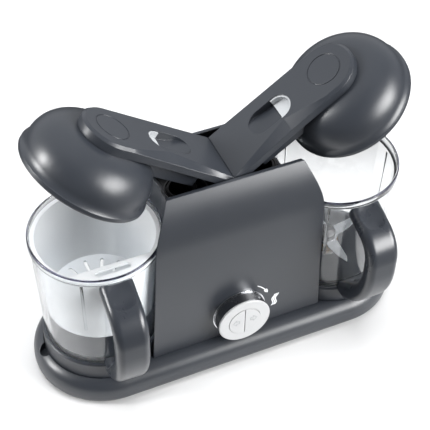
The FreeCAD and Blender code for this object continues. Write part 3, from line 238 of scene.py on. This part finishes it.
def new_group(name, inputs, outputs):
    """A shader group with its sockets; returns its tree and the sockets inside it by name."""
    tree = bpy.data.node_groups.new(name, "ShaderNodeTree")
    for label, kind, value in inputs:
        socket = tree.interface.new_socket(label, in_out="INPUT", socket_type=kind)
        socket.default_value = value
    for label, kind in outputs:
        tree.interface.new_socket(label, in_out="OUTPUT", socket_type=kind)
    entry = tree.nodes.new("NodeGroupInput").outputs
    result = tree.nodes.new("NodeGroupOutput")
    return tree, entry, result


def make_moulded_skin():
    """The fine spark-eroded grain of a moulding tool, with slow drifts of tone and gloss."""
    tree, entry, result = new_group(
        "moulded_skin",
        [("Tone", COLOUR, rgb(0.03, 0.03, 0.03)), ("Pale Tone", COLOUR, rgb(0.05, 0.05, 0.05)),
         ("Roughness", FLOAT, 0.4), ("Roughness Drift", FLOAT, 0.1), ("Grain", FLOAT, 1800.0)],
        [("Colour", COLOUR), ("Roughness", FLOAT), ("Height", FLOAT)],
    )
    place = place_of(tree)
    grain = noise(tree, place, entry["Grain"], 3.0, 0.6)
    cells = {"Vector": place, "Scale": product(tree, entry["Grain"], 0.55), "Randomness": 1.0}
    pits = add(tree, "ShaderNodeTexVoronoi", cells, feature="F1").outputs["Distance"]
    cloud = noise(tree, place, 14.0, 4.0, 0.55)
    upright = add(tree, "ShaderNodeMapping", {"Vector": place, "Scale": (60.0, 60.0, 9.0)}).outputs[0]
    flow = noise(tree, upright, 1.0, 3.0, 0.6)
    share = maths(tree, "ADD", product(tree, cloud, 0.6), product(tree, grain, 0.4))
    drift = maths(tree, "ADD", product(tree, cloud, 0.5), product(tree, flow, 0.5))
    drift = maths(tree, "SUBTRACT", drift, 0.5)
    feed(tree, result, {
        "Colour": blend_colour(tree, share, entry["Tone"], entry["Pale Tone"]),
        "Roughness": maths(tree, "MULTIPLY_ADD", drift, entry["Roughness Drift"], entry["Roughness"]),
        "Height": maths(tree, "MULTIPLY_ADD", pits, 0.5, product(tree, grain, 0.5)),
    })
    return tree


def make_edge_wear_and_shade():
    """Softly rounded corners, and a broken mask along them: where handling polishes the surface on most
    finishes, and painted shade along the milky basket's edges.
    """
    tree, entry, result = new_group(
        "edge_wear_and_shade",
        [("Radius", FLOAT, 0.6 * MM), ("Break Up", FLOAT, 220.0)],
        [("Edge", FLOAT), ("Normal", VECTOR)],
    )
    soft = add(tree, "ShaderNodeBevel", {"Radius": entry["Radius"]}, samples=6).outputs[0]
    true = add(tree, "ShaderNodeNewGeometry").outputs["Normal"]
    facing = add(tree, "ShaderNodeVectorMath", {0: soft, 1: true}, operation="DOT_PRODUCT").outputs["Value"]
    turn = ramp(tree, maths(tree, "SUBTRACT", 1.0, facing), 0.01, 0.16)
    broken = ramp(tree, noise(tree, place_of(tree), entry["Break Up"], 4.0, 0.65), 0.38, 0.66)
    feed(tree, result, {"Edge": product(tree, turn, broken), "Normal": soft})
    return tree


def make_handling_marks():
    """Finger smudges and hairline scratches on a polished surface."""
    tree, entry, result = new_group(
        "handling_marks",
        [("Smudge Size", FLOAT, 55.0), ("Scratch Size", FLOAT, 260.0)],
        [("Smudge", FLOAT), ("Scratch", FLOAT)],
    )
    place = place_of(tree)
    smudge = ramp(tree, noise(tree, place, entry["Smudge Size"], 5.0, 0.6), 0.5, 0.78)
    scratches = []
    for turn, stretch in (((0.4, 0.9, 0.2), (1.0, 0.035, 1.0)), ((1.1, 0.1, 0.8), (0.03, 1.0, 1.0))):
        slant = {"Vector": place, "Rotation": turn, "Scale": stretch}
        cells = {"Vector": add(tree, "ShaderNodeMapping", slant).outputs[0], "Scale": entry["Scratch Size"]}
        edge = add(tree, "ShaderNodeTexVoronoi", cells, feature="DISTANCE_TO_EDGE").outputs["Distance"]
        scratches.append(ramp(tree, edge, 0.0, 0.012, 1.0, 0.0))
    fade = ramp(tree, noise(tree, place, 90.0, 2.0), 0.5, 0.7)
    feed(tree, result, {"Smudge": smudge, "Scratch": product(tree, maths(tree, "MAXIMUM", *scratches), fade)})
    return tree


def make_brushed_streaks():
    """Fine parallel streaks left by brushing or turning a metal."""
    tree, entry, result = new_group(
        "brushed_streaks",
        [("Streaks", VECTOR, (40.0, 2500.0, 2500.0))],
        [("Streak", FLOAT)],
    )
    drawn_out = stretched(tree, place_of(tree), entry["Streaks"])
    feed(tree, result, {"Streak": noise(tree, drawn_out, 1.0, 4.0, 0.65)})
    return tree


moulded_skin = make_moulded_skin()
edge_wear_and_shade = make_edge_wear_and_shade()
handling_marks = make_handling_marks()
brushed_streaks = make_brushed_streaks()


# Finishes

def blank(name):
    """A material with its shader; returns the material, its tree and the shader."""
    material = bpy.data.materials.new(name)
    material.use_nodes = True
    tree = material.node_tree
    return material, tree, tree.nodes["Principled BSDF"]


def use(tree, group, values=None):
    """Places a shader group in a material with its own values."""
    return add(tree, "ShaderNodeGroup", values, node_tree=group).outputs


def plastic(name, tone, roughness, pale=1.35, grain=1800.0, depth=0.02 * MM, edge=0.7 * MM,
            wear=0.3, coat=0.0, marks=0.0, shine=0.5):
    """A moulded plastic: grain, drifting gloss, softened and slightly polished edges."""
    material, tree, shader = blank(name)
    skin = use(tree, moulded_skin, {"Tone": tone, "Pale Tone": paler(tone, pale), "Roughness": roughness,
                                    "Roughness Drift": 0.12, "Grain": grain})
    edges = use(tree, edge_wear_and_shade, {"Radius": edge})
    wear_and_edge_shade = product(tree, edges["Edge"], wear)
    gloss = maths(tree, "MULTIPLY_ADD", wear_and_edge_shade, -0.25, skin["Roughness"], clamp=True)
    if marks:
        touched = use(tree, handling_marks)
        gloss = maths(tree, "MULTIPLY_ADD", touched["Smudge"], marks, gloss, clamp=True)
    feed(tree, shader, {
        "Base Color": blend_colour(tree, wear_and_edge_shade, skin["Colour"], paler(tone, 2.6)),
        "Roughness": gloss,
        "Normal": bump(tree, depth, skin["Height"], edges["Normal"]),
        "Coat Weight": coat,
        "Coat Roughness": 0.12,
        "Specular IOR Level": shine,
    })
    return material


def metal(name, tone, roughness, streaks, depth=0.004 * MM, drift=0.18):
    """A metal with brushing streaks, smudges and bright edges."""
    material, tree, shader = blank(name)
    streak = use(tree, brushed_streaks, {"Streaks": streaks})["Streak"]
    touched = use(tree, handling_marks, {"Smudge Size": 80.0})
    edges = use(tree, edge_wear_and_shade, {"Radius": 0.3 * MM})
    shade = blend_colour(tree, streak, paler(tone, 0.8), paler(tone, 1.25))
    gloss = maths(tree, "MULTIPLY_ADD", maths(tree, "SUBTRACT", streak, 0.5), drift, roughness)
    feed(tree, shader, {
        "Base Color": blend_colour(tree, edges["Edge"], shade, paler(tone, 1.5)),
        "Roughness": maths(tree, "MULTIPLY_ADD", touched["Smudge"], 0.08, gloss, clamp=True),
        "Normal": bump(tree, depth, maths(tree, "ADD", streak, touched["Scratch"]), edges["Normal"]),
        "Metallic": 1.0,
    })
    return material


def let_light_in(tree, shader):
    """Lets lamplight pass straight through a see-through wall."""
    clear = add(tree, "ShaderNodeBsdfTransparent", {"Color": rgb(0.93, 0.94, 0.95)})
    shadow = add(tree, "ShaderNodeLightPath").outputs["Is Shadow Ray"]
    mix = add(tree, "ShaderNodeMixShader", {0: shadow, 1: shader.outputs[0], 2: clear.outputs[0]})
    feed(tree, tree.nodes["Material Output"], {"Surface": mix.outputs[0]})


def clear_jug():
    """Clear jug plastic: hairline scratches, faint haze, greyer aslant, and a painted dark navy line on the
    rim's outer top edge, standing in for dark surroundings seen refracted through the rim.
    """
    material, tree, shader = blank("clear_jug")
    place = split(tree, place_of(tree))
    across = maths(tree, "SUBTRACT", maths(tree, "ABSOLUTE", place["X"]), JUG_ACROSS)
    square = maths(tree, "MULTIPLY_ADD", place["Y"], place["Y"], product(tree, across, across))
    rim_outside = ramp(tree, maths(tree, "SQRT", square), 60.8 * MM, 61.4 * MM)
    rim_top = ramp(tree, place["Z"], 173.8 * MM, 174.6 * MM)
    foot = ramp(tree, place["Z"], 53.0 * MM, 58.0 * MM, 1.0, 0.0)
    touched = use(tree, handling_marks, {"Smudge Size": 38.0, "Scratch Size": 170.0})
    clean = blend_colour(tree, touched["Smudge"], rgb(0.96, 0.97, 0.975), rgb(0.92, 0.935, 0.945))
    aslant = ramp(tree, add(tree, "ShaderNodeLayerWeight", {"Blend": 0.5}).outputs["Facing"], 0.55, 0.98)
    wall = blend_colour(tree, aslant, clean, rgb(0.55, 0.57, 0.6))
    haze = maths(tree, "MULTIPLY_ADD", touched["Smudge"], 0.05, 0.012)
    feed(tree, shader, {
        # The rim's outer top edge gets a painted dark navy line: painted refraction of the dark surroundings,
        # not a tint of the plastic.
        "Base Color": blend_colour(tree, product(tree, rim_outside, rim_top), wall, rgb(0.05, 0.05, 0.11)),
        "Roughness": maths(tree, "MULTIPLY_ADD", foot, 0.3, haze),
        "Normal": bump(tree, 0.004 * MM, touched["Scratch"], strength=0.4),
        "Transmission Weight": 1.0,
        "IOR": 1.47,
    })
    let_light_in(tree, shader)
    return material


def milky_basket():
    """Milky basket plastic: lets light glow through, with a soft waxy surface and painted shade darkening its
    edges.
    """
    material, tree, shader = blank("milky_basket")
    skin = use(tree, moulded_skin, {"Tone": rgb(0.6, 0.61, 0.62), "Pale Tone": rgb(0.7, 0.71, 0.715),
                                    "Roughness": 0.34, "Roughness Drift": 0.16, "Grain": 900.0})
    edges = use(tree, edge_wear_and_shade, {"Radius": 0.9 * MM})
    # Painted shade: the basket's edges and creases darken to a mid grey so its white shape reads.
    wear_and_edge_shade = product(tree, edges["Edge"], 0.6)
    feed(tree, shader, {
        "Base Color": blend_colour(tree, wear_and_edge_shade, skin["Colour"], rgb(0.4, 0.41, 0.43)),
        "Roughness": skin["Roughness"],
        "Normal": bump(tree, 0.012 * MM, skin["Height"], edges["Normal"]),
        "Transmission Weight": 0.35,
        "IOR": 1.45,
    })
    let_light_in(tree, shader)
    return material


def ringed_window():
    """Pale window plastic with fine turned rings."""
    material, tree, shader = blank("ringed_window")
    skin = use(tree, moulded_skin, {"Tone": rgb(0.37, 0.385, 0.4), "Pale Tone": rgb(0.45, 0.465, 0.48),
                                    "Roughness": 0.3, "Roughness Drift": 0.14, "Grain": 1500.0})
    rings = add(tree, "ShaderNodeTexWave", {"Vector": place_of(tree), "Scale": 320.0, "Distortion": 0.3},
                wave_type="RINGS", rings_direction="Y").outputs["Fac"]
    height = maths(tree, "MULTIPLY_ADD", rings, 0.8, product(tree, skin["Height"], 0.2))
    feed(tree, shader, {
        "Base Color": blend_colour(tree, product(tree, rings, 0.3), skin["Colour"], rgb(0.6, 0.615, 0.63)),
        "Roughness": skin["Roughness"],
        "Normal": bump(tree, 0.06 * MM, height),
        "Coat Weight": 0.3,
    })
    return material


def circuit_board():
    """Green lacquer over copper tracks."""
    material, tree, shader = blank("circuit_board")
    place = place_of(tree)
    tracks = add(tree, "ShaderNodeTexBrick", {"Vector": place, "Scale": 180.0, "Mortar Size": 0.06},
                 offset=0.35).outputs["Fac"]
    fleck = noise(tree, place, 700.0, 3.0)
    board = blend_colour(tree, fleck, rgb(0.012, 0.07, 0.035), rgb(0.02, 0.11, 0.05))
    feed(tree, shader, {
        "Base Color": blend_colour(tree, tracks, board, rgb(0.05, 0.19, 0.07)),
        "Roughness": ramp(tree, fleck, 0.2, 0.8, 0.28, 0.45),
        "Normal": bump(tree, 0.03 * MM, tracks),
    })
    return material


def scaled_boiler():
    """Boiler steel with faint lime scale and heat tint, turned black and not metallic from 4 mm below the
    deck top upwards.
    """
    material, tree, shader = blank("scaled_boiler")
    place = place_of(tree)
    stain = ramp(tree, noise(tree, place, 70.0, 5.0, 0.62), 0.42, 0.72)
    streak = use(tree, brushed_streaks, {"Streaks": (900.0, 900.0, 30.0)})["Streak"]
    bare = blend_colour(tree, streak, rgb(0.11, 0.1, 0.065), rgb(0.17, 0.155, 0.1))
    steel = blend_colour(tree, stain, bare, rgb(0.06, 0.05, 0.03))
    black_top = ramp(tree, split(tree, place)["Z"], DECK_TOP - 4.5 * MM, DECK_TOP - 4.0 * MM)
    feed(tree, shader, {
        "Base Color": blend_colour(tree, black_top, steel, rgb(0.012, 0.012, 0.013)),
        "Metallic": ramp(tree, black_top, 0.0, 1.0, 0.85, 0.0),
        "Roughness": ramp(tree, stain, 0.0, 1.0, 0.3, 0.55),
        "Normal": bump(tree, 0.02 * MM, stain),
    })
    return material


CHARCOAL = rgb(0.0205, 0.0235, 0.0295)
PLASTICS = {
    "charcoal_shell": dict(tone=CHARCOAL, roughness=0.34, edge=1.2 * MM, shine=0.7),
    "charcoal_lid": dict(tone=CHARCOAL, roughness=0.36, depth=0.012 * MM, edge=0.8 * MM, shine=0.7),
    "charcoal_grip": dict(tone=CHARCOAL, roughness=0.28, depth=0.006 * MM, edge=2.2 * MM, marks=0.06,
                          shine=0.7),
    "black_deck": dict(tone=rgb(0.008, 0.008, 0.009), roughness=0.22, grain=1200.0, depth=0.008 * MM,
                       wear=0.15),
    "black_inner": dict(tone=rgb(0.012, 0.012, 0.013), roughness=0.45),
    "rubber": dict(tone=rgb(0.014, 0.014, 0.014), roughness=0.75, grain=900.0, depth=0.05 * MM, wear=0.5),
    "silicone": dict(tone=rgb(0.1, 0.102, 0.106), roughness=0.55, grain=700.0, depth=0.015 * MM, wear=0.1),
    "inner_liner": dict(tone=rgb(0.03, 0.031, 0.034), roughness=0.38),
    "pulley_plastic": dict(tone=rgb(0.05, 0.05, 0.052), roughness=0.42),
    "white_face": dict(tone=rgb(0.43, 0.435, 0.44), roughness=0.3, pale=1.1, depth=0.006 * MM, edge=0.5 * MM,
                       wear=0.12, coat=0.35, marks=0.06),
    "pale_print": dict(tone=rgb(0.86, 0.87, 0.88), roughness=0.5, pale=1.1, edge=0.05 * MM, wear=0.0),
    "grey_print": dict(tone=rgb(0.3, 0.31, 0.32), roughness=0.5, pale=1.2, edge=0.05 * MM, wear=0.0),
}
METALS = {
    "chrome": dict(tone=rgb(0.66, 0.67, 0.69), roughness=0.1, streaks=(300.0, 8.0, 300.0),
                   depth=0.001 * MM, drift=0.05),
    "dark_mirror": dict(tone=rgb(0.3, 0.305, 0.315), roughness=0.24, streaks=(900.0, 30.0, 900.0),
                        depth=0.002 * MM, drift=0.05),
    "blade_steel": dict(tone=rgb(0.5, 0.51, 0.52), roughness=0.24, streaks=(60.0, 60.0, 2400.0)),
    "screw_steel": dict(tone=rgb(0.42, 0.42, 0.43), roughness=0.32, streaks=(900.0, 900.0, 80.0)),
    "motor_steel": dict(tone=rgb(0.34, 0.345, 0.36), roughness=0.38, streaks=(500.0, 500.0, 40.0)),
    "heater_metal": dict(tone=rgb(0.3, 0.27, 0.24), roughness=0.42, streaks=(300.0, 300.0, 300.0)),
    "bronze": dict(tone=rgb(0.42, 0.27, 0.12), roughness=0.36, streaks=(400.0, 400.0, 90.0)),
}
finishes = {
    "clear_jug": clear_jug(),
    "milky_basket": milky_basket(),
    "ringed_window": ringed_window(),
    "circuit_board": circuit_board(),
    "scaled_boiler": scaled_boiler(),
}
for finish, values in PLASTICS.items():
    finishes[finish] = plastic(finish, **values)
for finish, values in METALS.items():
    finishes[finish] = metal(finish, **values)


def both(*names):
    return [f"{side}_{name}" for side, _ in SIDES for name in names]


WORN_BY = {
    "charcoal_shell": ["base_tray", "front_shell", "rear_shell", *both("jug_collar")],
    "charcoal_lid": both("lid_arm", "lid_dome", "steam_duct"),
    "charcoal_grip": both("jug_handle"),
    "black_deck": ["top_deck"],
    "black_inner": ["bottom_cover", "hinge_bracket", "motor_mount", "rotary_switch", *both("blade_hub")],
    "rubber": ["rubber_feet", "cord_gland", *both("belt")],
    "silicone": both("lid_gasket", "duct_seal"),
    "inner_liner": both("lid_liner"),
    "pulley_plastic": both("drive_spindle"),
    "white_face": ["knob_face", *both("button")],
    "chrome": ["dial_ring"],
    "dark_mirror": ["knob_barrel"],
    "blade_steel": both("blade_knives"),
    "screw_steel": ["cover_screws", "hinge_pins", *both("lid_screws")],
    "motor_steel": both("motor", "motor_rotor"),
    "heater_metal": ["boiler_heaters"],
    "bronze": ["spindle_bushes", *both("blade_bush")],
    "clear_jug": both("jug_bowl"),
    "milky_basket": ["steam_basket"],
    "ringed_window": both("slot_window"),
    "circuit_board": ["control_board"],
    "scaled_boiler": both("boiler"),
}
for finish, wearers in WORN_BY.items():
    for wearer in wearers:
        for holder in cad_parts[wearer].material_slots:
            holder.material = finishes[finish]


def dress(piece, finish, body, slot, *stands_for):
    """Gives a new piece its finish and its body, and hides the CAD parts it stands for."""
    piece.data.materials.clear()
    piece.data.materials.append(finishes[finish])
    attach(piece, body)
    if stands_for:
        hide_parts(*stands_for)


# Jugs: clear bowls with rounded corners and three upright ribs, outlined in millimetres

BOWL_FOOT, BOWL_FLOOR, HUB_TOP, BOWL_LEDGE, BOWL_TOP = 49.0, 52.5, 62.0, 167.7, 175.6
HUB_BORE, HUB_RADIUS = 9.05, 13.0
INNER_FOOT, INNER_LEDGE = 53.5, 58.3
OUTER_FOOT, OUTER_LEDGE = 56.1, 60.9
RIM_INSIDE, RIM_OUTSIDE = 60.2, 62.5
BOWL_OUTLINE = (
    (HUB_BORE, BOWL_FOOT, 0), (OUTER_FOOT, BOWL_FOOT, 1.5), (OUTER_LEDGE, BOWL_LEDGE, 0.5),
    (RIM_OUTSIDE, BOWL_LEDGE, 0.6), (RIM_OUTSIDE, BOWL_TOP, 1.0), (RIM_INSIDE, BOWL_TOP, 1.0),
    (RIM_INSIDE, BOWL_LEDGE, 0), (INNER_LEDGE, BOWL_LEDGE, 0.8), (INNER_FOOT, BOWL_FLOOR, 6.0),
    (HUB_RADIUS, BOWL_FLOOR, 2.0), (HUB_RADIUS, HUB_TOP, 1.0), (HUB_BORE, HUB_TOP, 0),
)
RIB_ANGLES = (-122, -2, 118)
RIB_WIDTH, RIB_DEPTH, RIB_SINK = 2.6 * MM, 0.7 * MM, 0.05 * MM
RIB_BOTTOM, RIB_TOP = 100.0 * MM, 164.0 * MM
RIB_EDGE, RIB_END = 0.3 * MM, 0.6 * MM


def bowl_inside(height):
    """The bowl's inner radius at a height, both in metres."""
    share = (height / MM - BOWL_FLOOR) / (BOWL_LEDGE - BOWL_FLOOR)
    return (INNER_FOOT + (INNER_LEDGE - INNER_FOOT) * share) * MM


def make_bowl(side, sign):
    bowl = lathe(f"{side}_bowl", BOWL_OUTLINE, (JUG_ACROSS * sign, 0), steps=128)
    dress(bowl, "clear_jug", f"{side}_jug", "clear_plastic", f"{side}_jug_bowl")


def make_ribs(side, sign):
    """Three slim ribs on the bowl's inner wall, one modelled and two copied round the jug's axis."""
    clear_selection()
    middle = (RIB_BOTTOM + RIB_TOP) / 2
    length = RIB_TOP - RIB_BOTTOM
    lean = math.atan2(bowl_inside(RIB_TOP) - bowl_inside(RIB_BOTTOM), length)
    reach = bowl_inside(middle) - RIB_DEPTH / 2 + RIB_SINK
    bpy.ops.mesh.primitive_cube_add(size=1, location=(reach, 0, middle), rotation=(0, lean, 0))
    rib = begin(f"{side}_bowl_ribs", (RIB_DEPTH, RIB_WIDTH, length))
    for end in (RIB_BOTTOM, RIB_TOP):
        choose(rib, "FACE", lambda spot: abs(spot.z - end) < 0.2 * MM)
        bpy.ops.mesh.inset(thickness=RIB_EDGE, depth=RIB_END)
    choose(rib, "EDGE", lambda spot: spot.x < bowl_inside(spot.z) - RIB_DEPTH * 0.6)
    bpy.ops.mesh.bevel(offset=RIB_EDGE, segments=2, affect="EDGES")
    close_up()
    leave(rib)
    copies = [rib]
    for _ in RIB_ANGLES[1:]:
        clear_selection()
        rib.select_set(True)
        bpy.context.view_layer.objects.active = rib
        bpy.ops.object.duplicate()
        copies.append(bpy.context.object)
    for copy, angle in zip(copies, RIB_ANGLES):
        copy.data.transform(Matrix.Rotation(math.radians(angle), 4, "Z"))
        copy.data.transform(Matrix.Translation((JUG_ACROSS * sign, 0, 0)))
    dress(join(copies), "clear_jug", f"{side}_jug", "clear_plastic")


# Deck: a stepped lip round each filling neck, outlined in millimetres

LIP_FOOT, LIP_STEP, LIP_TOP = 200.0, 200.8, 201.4
LIP_BORE, LIP_COLLAR, LIP_FLANGE = 14.2, 16.6, 18.6
LIP_OUTLINE = (
    (LIP_BORE, LIP_FOOT, 0), (LIP_FLANGE, LIP_FOOT, 0), (LIP_FLANGE, LIP_STEP, 0.25),
    (LIP_COLLAR, LIP_STEP, 0), (LIP_COLLAR, LIP_TOP, 0.25), (LIP_BORE, LIP_TOP, 0.25),
)


def make_neck_lip(side, sign):
    lip = lathe(f"{side}_neck_lip", LIP_OUTLINE, (NECK_ACROSS * sign, NECK_DEPTH), steps=72)
    dress(lip, "black_deck", "base", "black_plastic")


# Signs: plain arrows on the buttons, a turning arrow and a steam mark beside the knob

PRINT_RISE = 0.18 * MM
FIRST_STEP = 0.02 * MM
TIP_SHARE = 0.02
BLOCK_ACROSS, BLOCK_RISE = 7.0 * MM, 1.0 * MM
BLOCK_LENGTH, BLOCK_WIDTH = 3.2 * MM, 4.0 * MM
BLOCK_FLARE, BLOCK_HEAD, BLOCK_LINE = 2.2, 4.4 * MM, 0.65 * MM
TURN_REACH, TURN_LINE = 33.4 * MM, 0.9 * MM
TURN_START, TURN_END = math.radians(54), math.radians(28)
TURN_FLARE, TURN_HEAD = 4.0, 3.4 * MM
STEAM_ACROSS, STEAM_HEIGHT = (37.4 * MM, 39.2 * MM, 41.0 * MM), 60.5 * MM
STEAM_LINE, STEAM_LENGTH = 1.2 * MM, 16.0 * MM
STEAM_SWING, STEAM_LEAN, STEAM_WAVES = 1.1 * MM, 2.2 * MM, 1.25


def give_print_depth(piece):
    """Gives a flat print its slight thickness, to the front and back of the face that carries it."""
    clear_selection()
    piece.select_set(True)
    bpy.context.view_layer.objects.active = piece
    wall = piece.modifiers.new("print_depth", "SOLIDIFY")
    wall.thickness = PRINT_RISE * 2
    wall.offset = 0.0
    bpy.ops.object.modifier_apply(modifier=wall.name)
    bpy.ops.object.mode_set(mode="EDIT")
    close_up()
    leave(piece, 30)


def make_button_arrow(side, sign):
    """An outlined block arrow that points outwards: a shaft, a flared head drawn to a tip, then hollowed."""
    clear_selection()
    start = Vector((BLOCK_ACROSS * sign, BUTTON_FRONT, KNOB_HEIGHT + BLOCK_RISE))
    bpy.ops.mesh.primitive_plane_add(size=1, location=start, rotation=UPRIGHT)
    arrow = begin(f"{side}_button_arrow", (BLOCK_LENGTH, BLOCK_WIDTH, 1))
    outer = start.x + BLOCK_LENGTH / 2 * sign
    choose(arrow, "EDGE", lambda spot: abs(spot.x - outer) < 0.01 * MM)
    extrude_edges((FIRST_STEP * sign, 0, 0))
    bpy.ops.transform.resize(value=(1, 1, BLOCK_FLARE))
    extrude_edges((BLOCK_HEAD * sign, 0, 0))
    bpy.ops.transform.resize(value=(1, 1, TIP_SHARE))
    merge_doubles(0.2 * MM)
    bpy.ops.mesh.select_mode(type="FACE")
    choose_all()
    bpy.ops.mesh.dissolve_faces()
    choose_all()
    bpy.ops.mesh.inset(thickness=BLOCK_LINE)
    bpy.ops.mesh.delete(type="FACE")
    close_up()
    give_print_depth(arrow)
    dress(arrow, "grey_print", f"{side}_button", "dark_gloss")


def make_turn_arrow():
    """A fine arc about the knob's axis that runs clockwise and ends in an arrow head."""
    clear_selection()
    centre = Vector((0, FRONT_FACE, KNOB_HEIGHT))
    outwards = Vector((math.cos(TURN_START), 0, math.sin(TURN_START)))
    bpy.ops.mesh.primitive_plane_add(size=MM, location=centre + outwards * (TURN_REACH - TURN_LINE / 2))
    arrow = begin("turn_arrow")
    bpy.ops.mesh.merge(type="CENTER")
    extrude_points(outwards * TURN_LINE)
    choose_all()
    bpy.ops.mesh.spin(steps=20, angle=TURN_START - TURN_END, center=centre, axis=(0, -1, 0))
    onward = Vector((math.sin(TURN_END), 0, -math.cos(TURN_END)))
    neck = centre + Vector((math.cos(TURN_END), 0, math.sin(TURN_END))) * TURN_REACH
    choose(arrow, "VERT", lambda spot: (spot - neck).length < TURN_LINE)
    extrude_edges(onward * FIRST_STEP)
    bpy.ops.transform.resize(value=(TURN_FLARE,) * 3, center_override=neck)
    extrude_edges(onward * TURN_HEAD)
    bpy.ops.transform.resize(value=(TIP_SHARE,) * 3, center_override=neck + onward * TURN_HEAD)
    close_up()
    give_print_depth(arrow)
    dress(arrow, "pale_print", "base", "light_grey_plastic")


def make_steam_mark():
    """Three rising wavy strokes side by side."""
    strokes = []
    for across in STEAM_ACROSS:
        clear_selection()
        place = (across, FRONT_FACE, STEAM_HEIGHT)
        bpy.ops.mesh.primitive_plane_add(size=1, location=place, rotation=UPRIGHT)
        stroke = begin("steam_mark", (STEAM_LINE, STEAM_LENGTH, 1))
        choose(stroke, "EDGE", lambda spot: abs(spot.z - STEAM_HEIGHT) < 1 * MM)
        bpy.ops.mesh.subdivide(number_cuts=18)
        for vertex in bmesh.from_edit_mesh(stroke.data).verts:
            rise = (vertex.co.z - STEAM_HEIGHT) / STEAM_LENGTH
            vertex.co.x += STEAM_SWING * math.sin((rise + 0.5) * math.tau * STEAM_WAVES) + STEAM_LEAN * rise
        bpy.ops.object.mode_set(mode="OBJECT")
        strokes.append(stroke)
    mark = join(strokes)
    bpy.ops.object.mode_set(mode="EDIT")
    close_up()
    give_print_depth(mark)
    dress(mark, "pale_print", "base", "light_grey_plastic")


for side, sign in SIDES:
    make_bowl(side, sign)
    make_ribs(side, sign)
    make_neck_lip(side, sign)
    make_button_arrow(side, sign)
make_turn_arrow()
make_steam_mark()


# Stage: pale floor, soft studio light and the camera

FLOOR_SIZE = 14.0
FLOOR_TONES = (rgb(0.71, 0.71, 0.71), rgb(0.74, 0.74, 0.74))
MIRROR_TONE = rgb(0.06, 0.06, 0.06)
MIRROR_NEAR, MIRROR_FAR = 0.1, 0.3
WORLD_TONE = rgb(0.95, 0.97, 1.0)
WORLD_FRONT, WORLD_BACK = 0.16, 0.85
LAMP_TARGET = Vector((0, 0, 0.2))
CAMERA_PLACE = Vector((-0.33294, -0.72008, 0.96388))
CAMERA_RIGHT = Vector((0.91566, -0.40166, 0.01537))
CAMERA_FORWARD = Vector((0.28969, 0.63293, -0.71796))
CAMERA_LENS, CAMERA_SENSOR = 99.447, 36.0


def make_floor():
    """A pale floor whose mirror image fades with the distance from the machine."""
    clear_selection()
    bpy.ops.mesh.primitive_plane_add(size=FLOOR_SIZE)
    floor = bpy.context.object
    floor.name = "floor"
    material, tree, shader = blank("pale_floor")
    place = place_of(tree)
    pale = blend_colour(tree, noise(tree, place, 3.0, 3.0), *FLOOR_TONES)
    # The machine is longer than deep, so the distance counts less along its length
    narrowed = stretched(tree, place, (0.4, 1.0, 0.0))
    away = add(tree, "ShaderNodeVectorMath", {0: narrowed}, operation="LENGTH").outputs["Value"]
    mirrored = add(tree, "ShaderNodeLightPath").outputs["Is Glossy Ray"]
    fade = product(tree, mirrored, ramp(tree, away, MIRROR_NEAR, MIRROR_FAR))
    feed(tree, shader, {"Base Color": blend_colour(tree, fade, pale, MIRROR_TONE), "Roughness": 0.6})
    floor.data.materials.append(material)


def add_softbox(name, place, size, energy, spread):
    """A rectangular softbox turned to the machine, with a grid that narrows its spread."""
    clear_selection()
    bpy.ops.object.light_add(type="AREA", location=place)
    lamp = bpy.context.object
    lamp.name = name
    lamp.data.shape = "RECTANGLE"
    lamp.data.size, lamp.data.size_y = size
    lamp.data.energy = energy
    lamp.data.spread = math.radians(spread)
    lamp.rotation_mode = "QUATERNION"
    lamp.rotation_quaternion = (LAMP_TARGET - Vector(place)).to_track_quat("-Z", "Y")
    return lamp


def make_light():
    """A dim front and a bright back all round, two softboxes at the sides and one above."""
    world = bpy.data.worlds.new("studio")
    bpy.context.scene.world = world
    world.use_nodes = True
    tree = world.node_tree
    depth = split(tree, add(tree, "ShaderNodeTexCoord").outputs["Generated"])["Y"]
    strength = ramp(tree, depth, -0.4, 0.8, WORLD_FRONT, WORLD_BACK)
    feed(tree, tree.nodes["Background"], {"Color": WORLD_TONE, "Strength": strength})
    add_softbox("right_softbox", (0.95, -1.05, 0.7), (1.2, 0.8), 8.6, 75)
    add_softbox("left_softbox", (-1.33, 0.36, 0.82), (0.3, 0.6), 3.2, 75)
    top = add_softbox("top_softbox", (0.0, 0.0, 1.9), (1.6, 1.4), 16, 120)
    # The lamp above lights the floor and jugs, and leaves no glare on the lids
    top.visible_glossy = False


def make_camera():
    clear_selection()
    bpy.ops.object.camera_add()
    camera = bpy.context.object
    camera.name = "photo_camera"
    camera.data.lens = CAMERA_LENS
    camera.data.sensor_width = CAMERA_SENSOR
    camera.data.dof.use_dof = False
    right, forward = CAMERA_RIGHT.normalized(), CAMERA_FORWARD.normalized()
    up = right.cross(forward).normalized()
    turn = Matrix((right, up, -forward)).transposed().to_4x4()
    camera.matrix_world = Matrix.Translation(CAMERA_PLACE) @ turn
    camera.data.clip_start, camera.data.clip_end = 0.05, 50.0
    bpy.context.scene.camera = camera


make_floor()
make_light()
make_camera()
bpy.context.scene.view_settings.view_transform = "Standard"
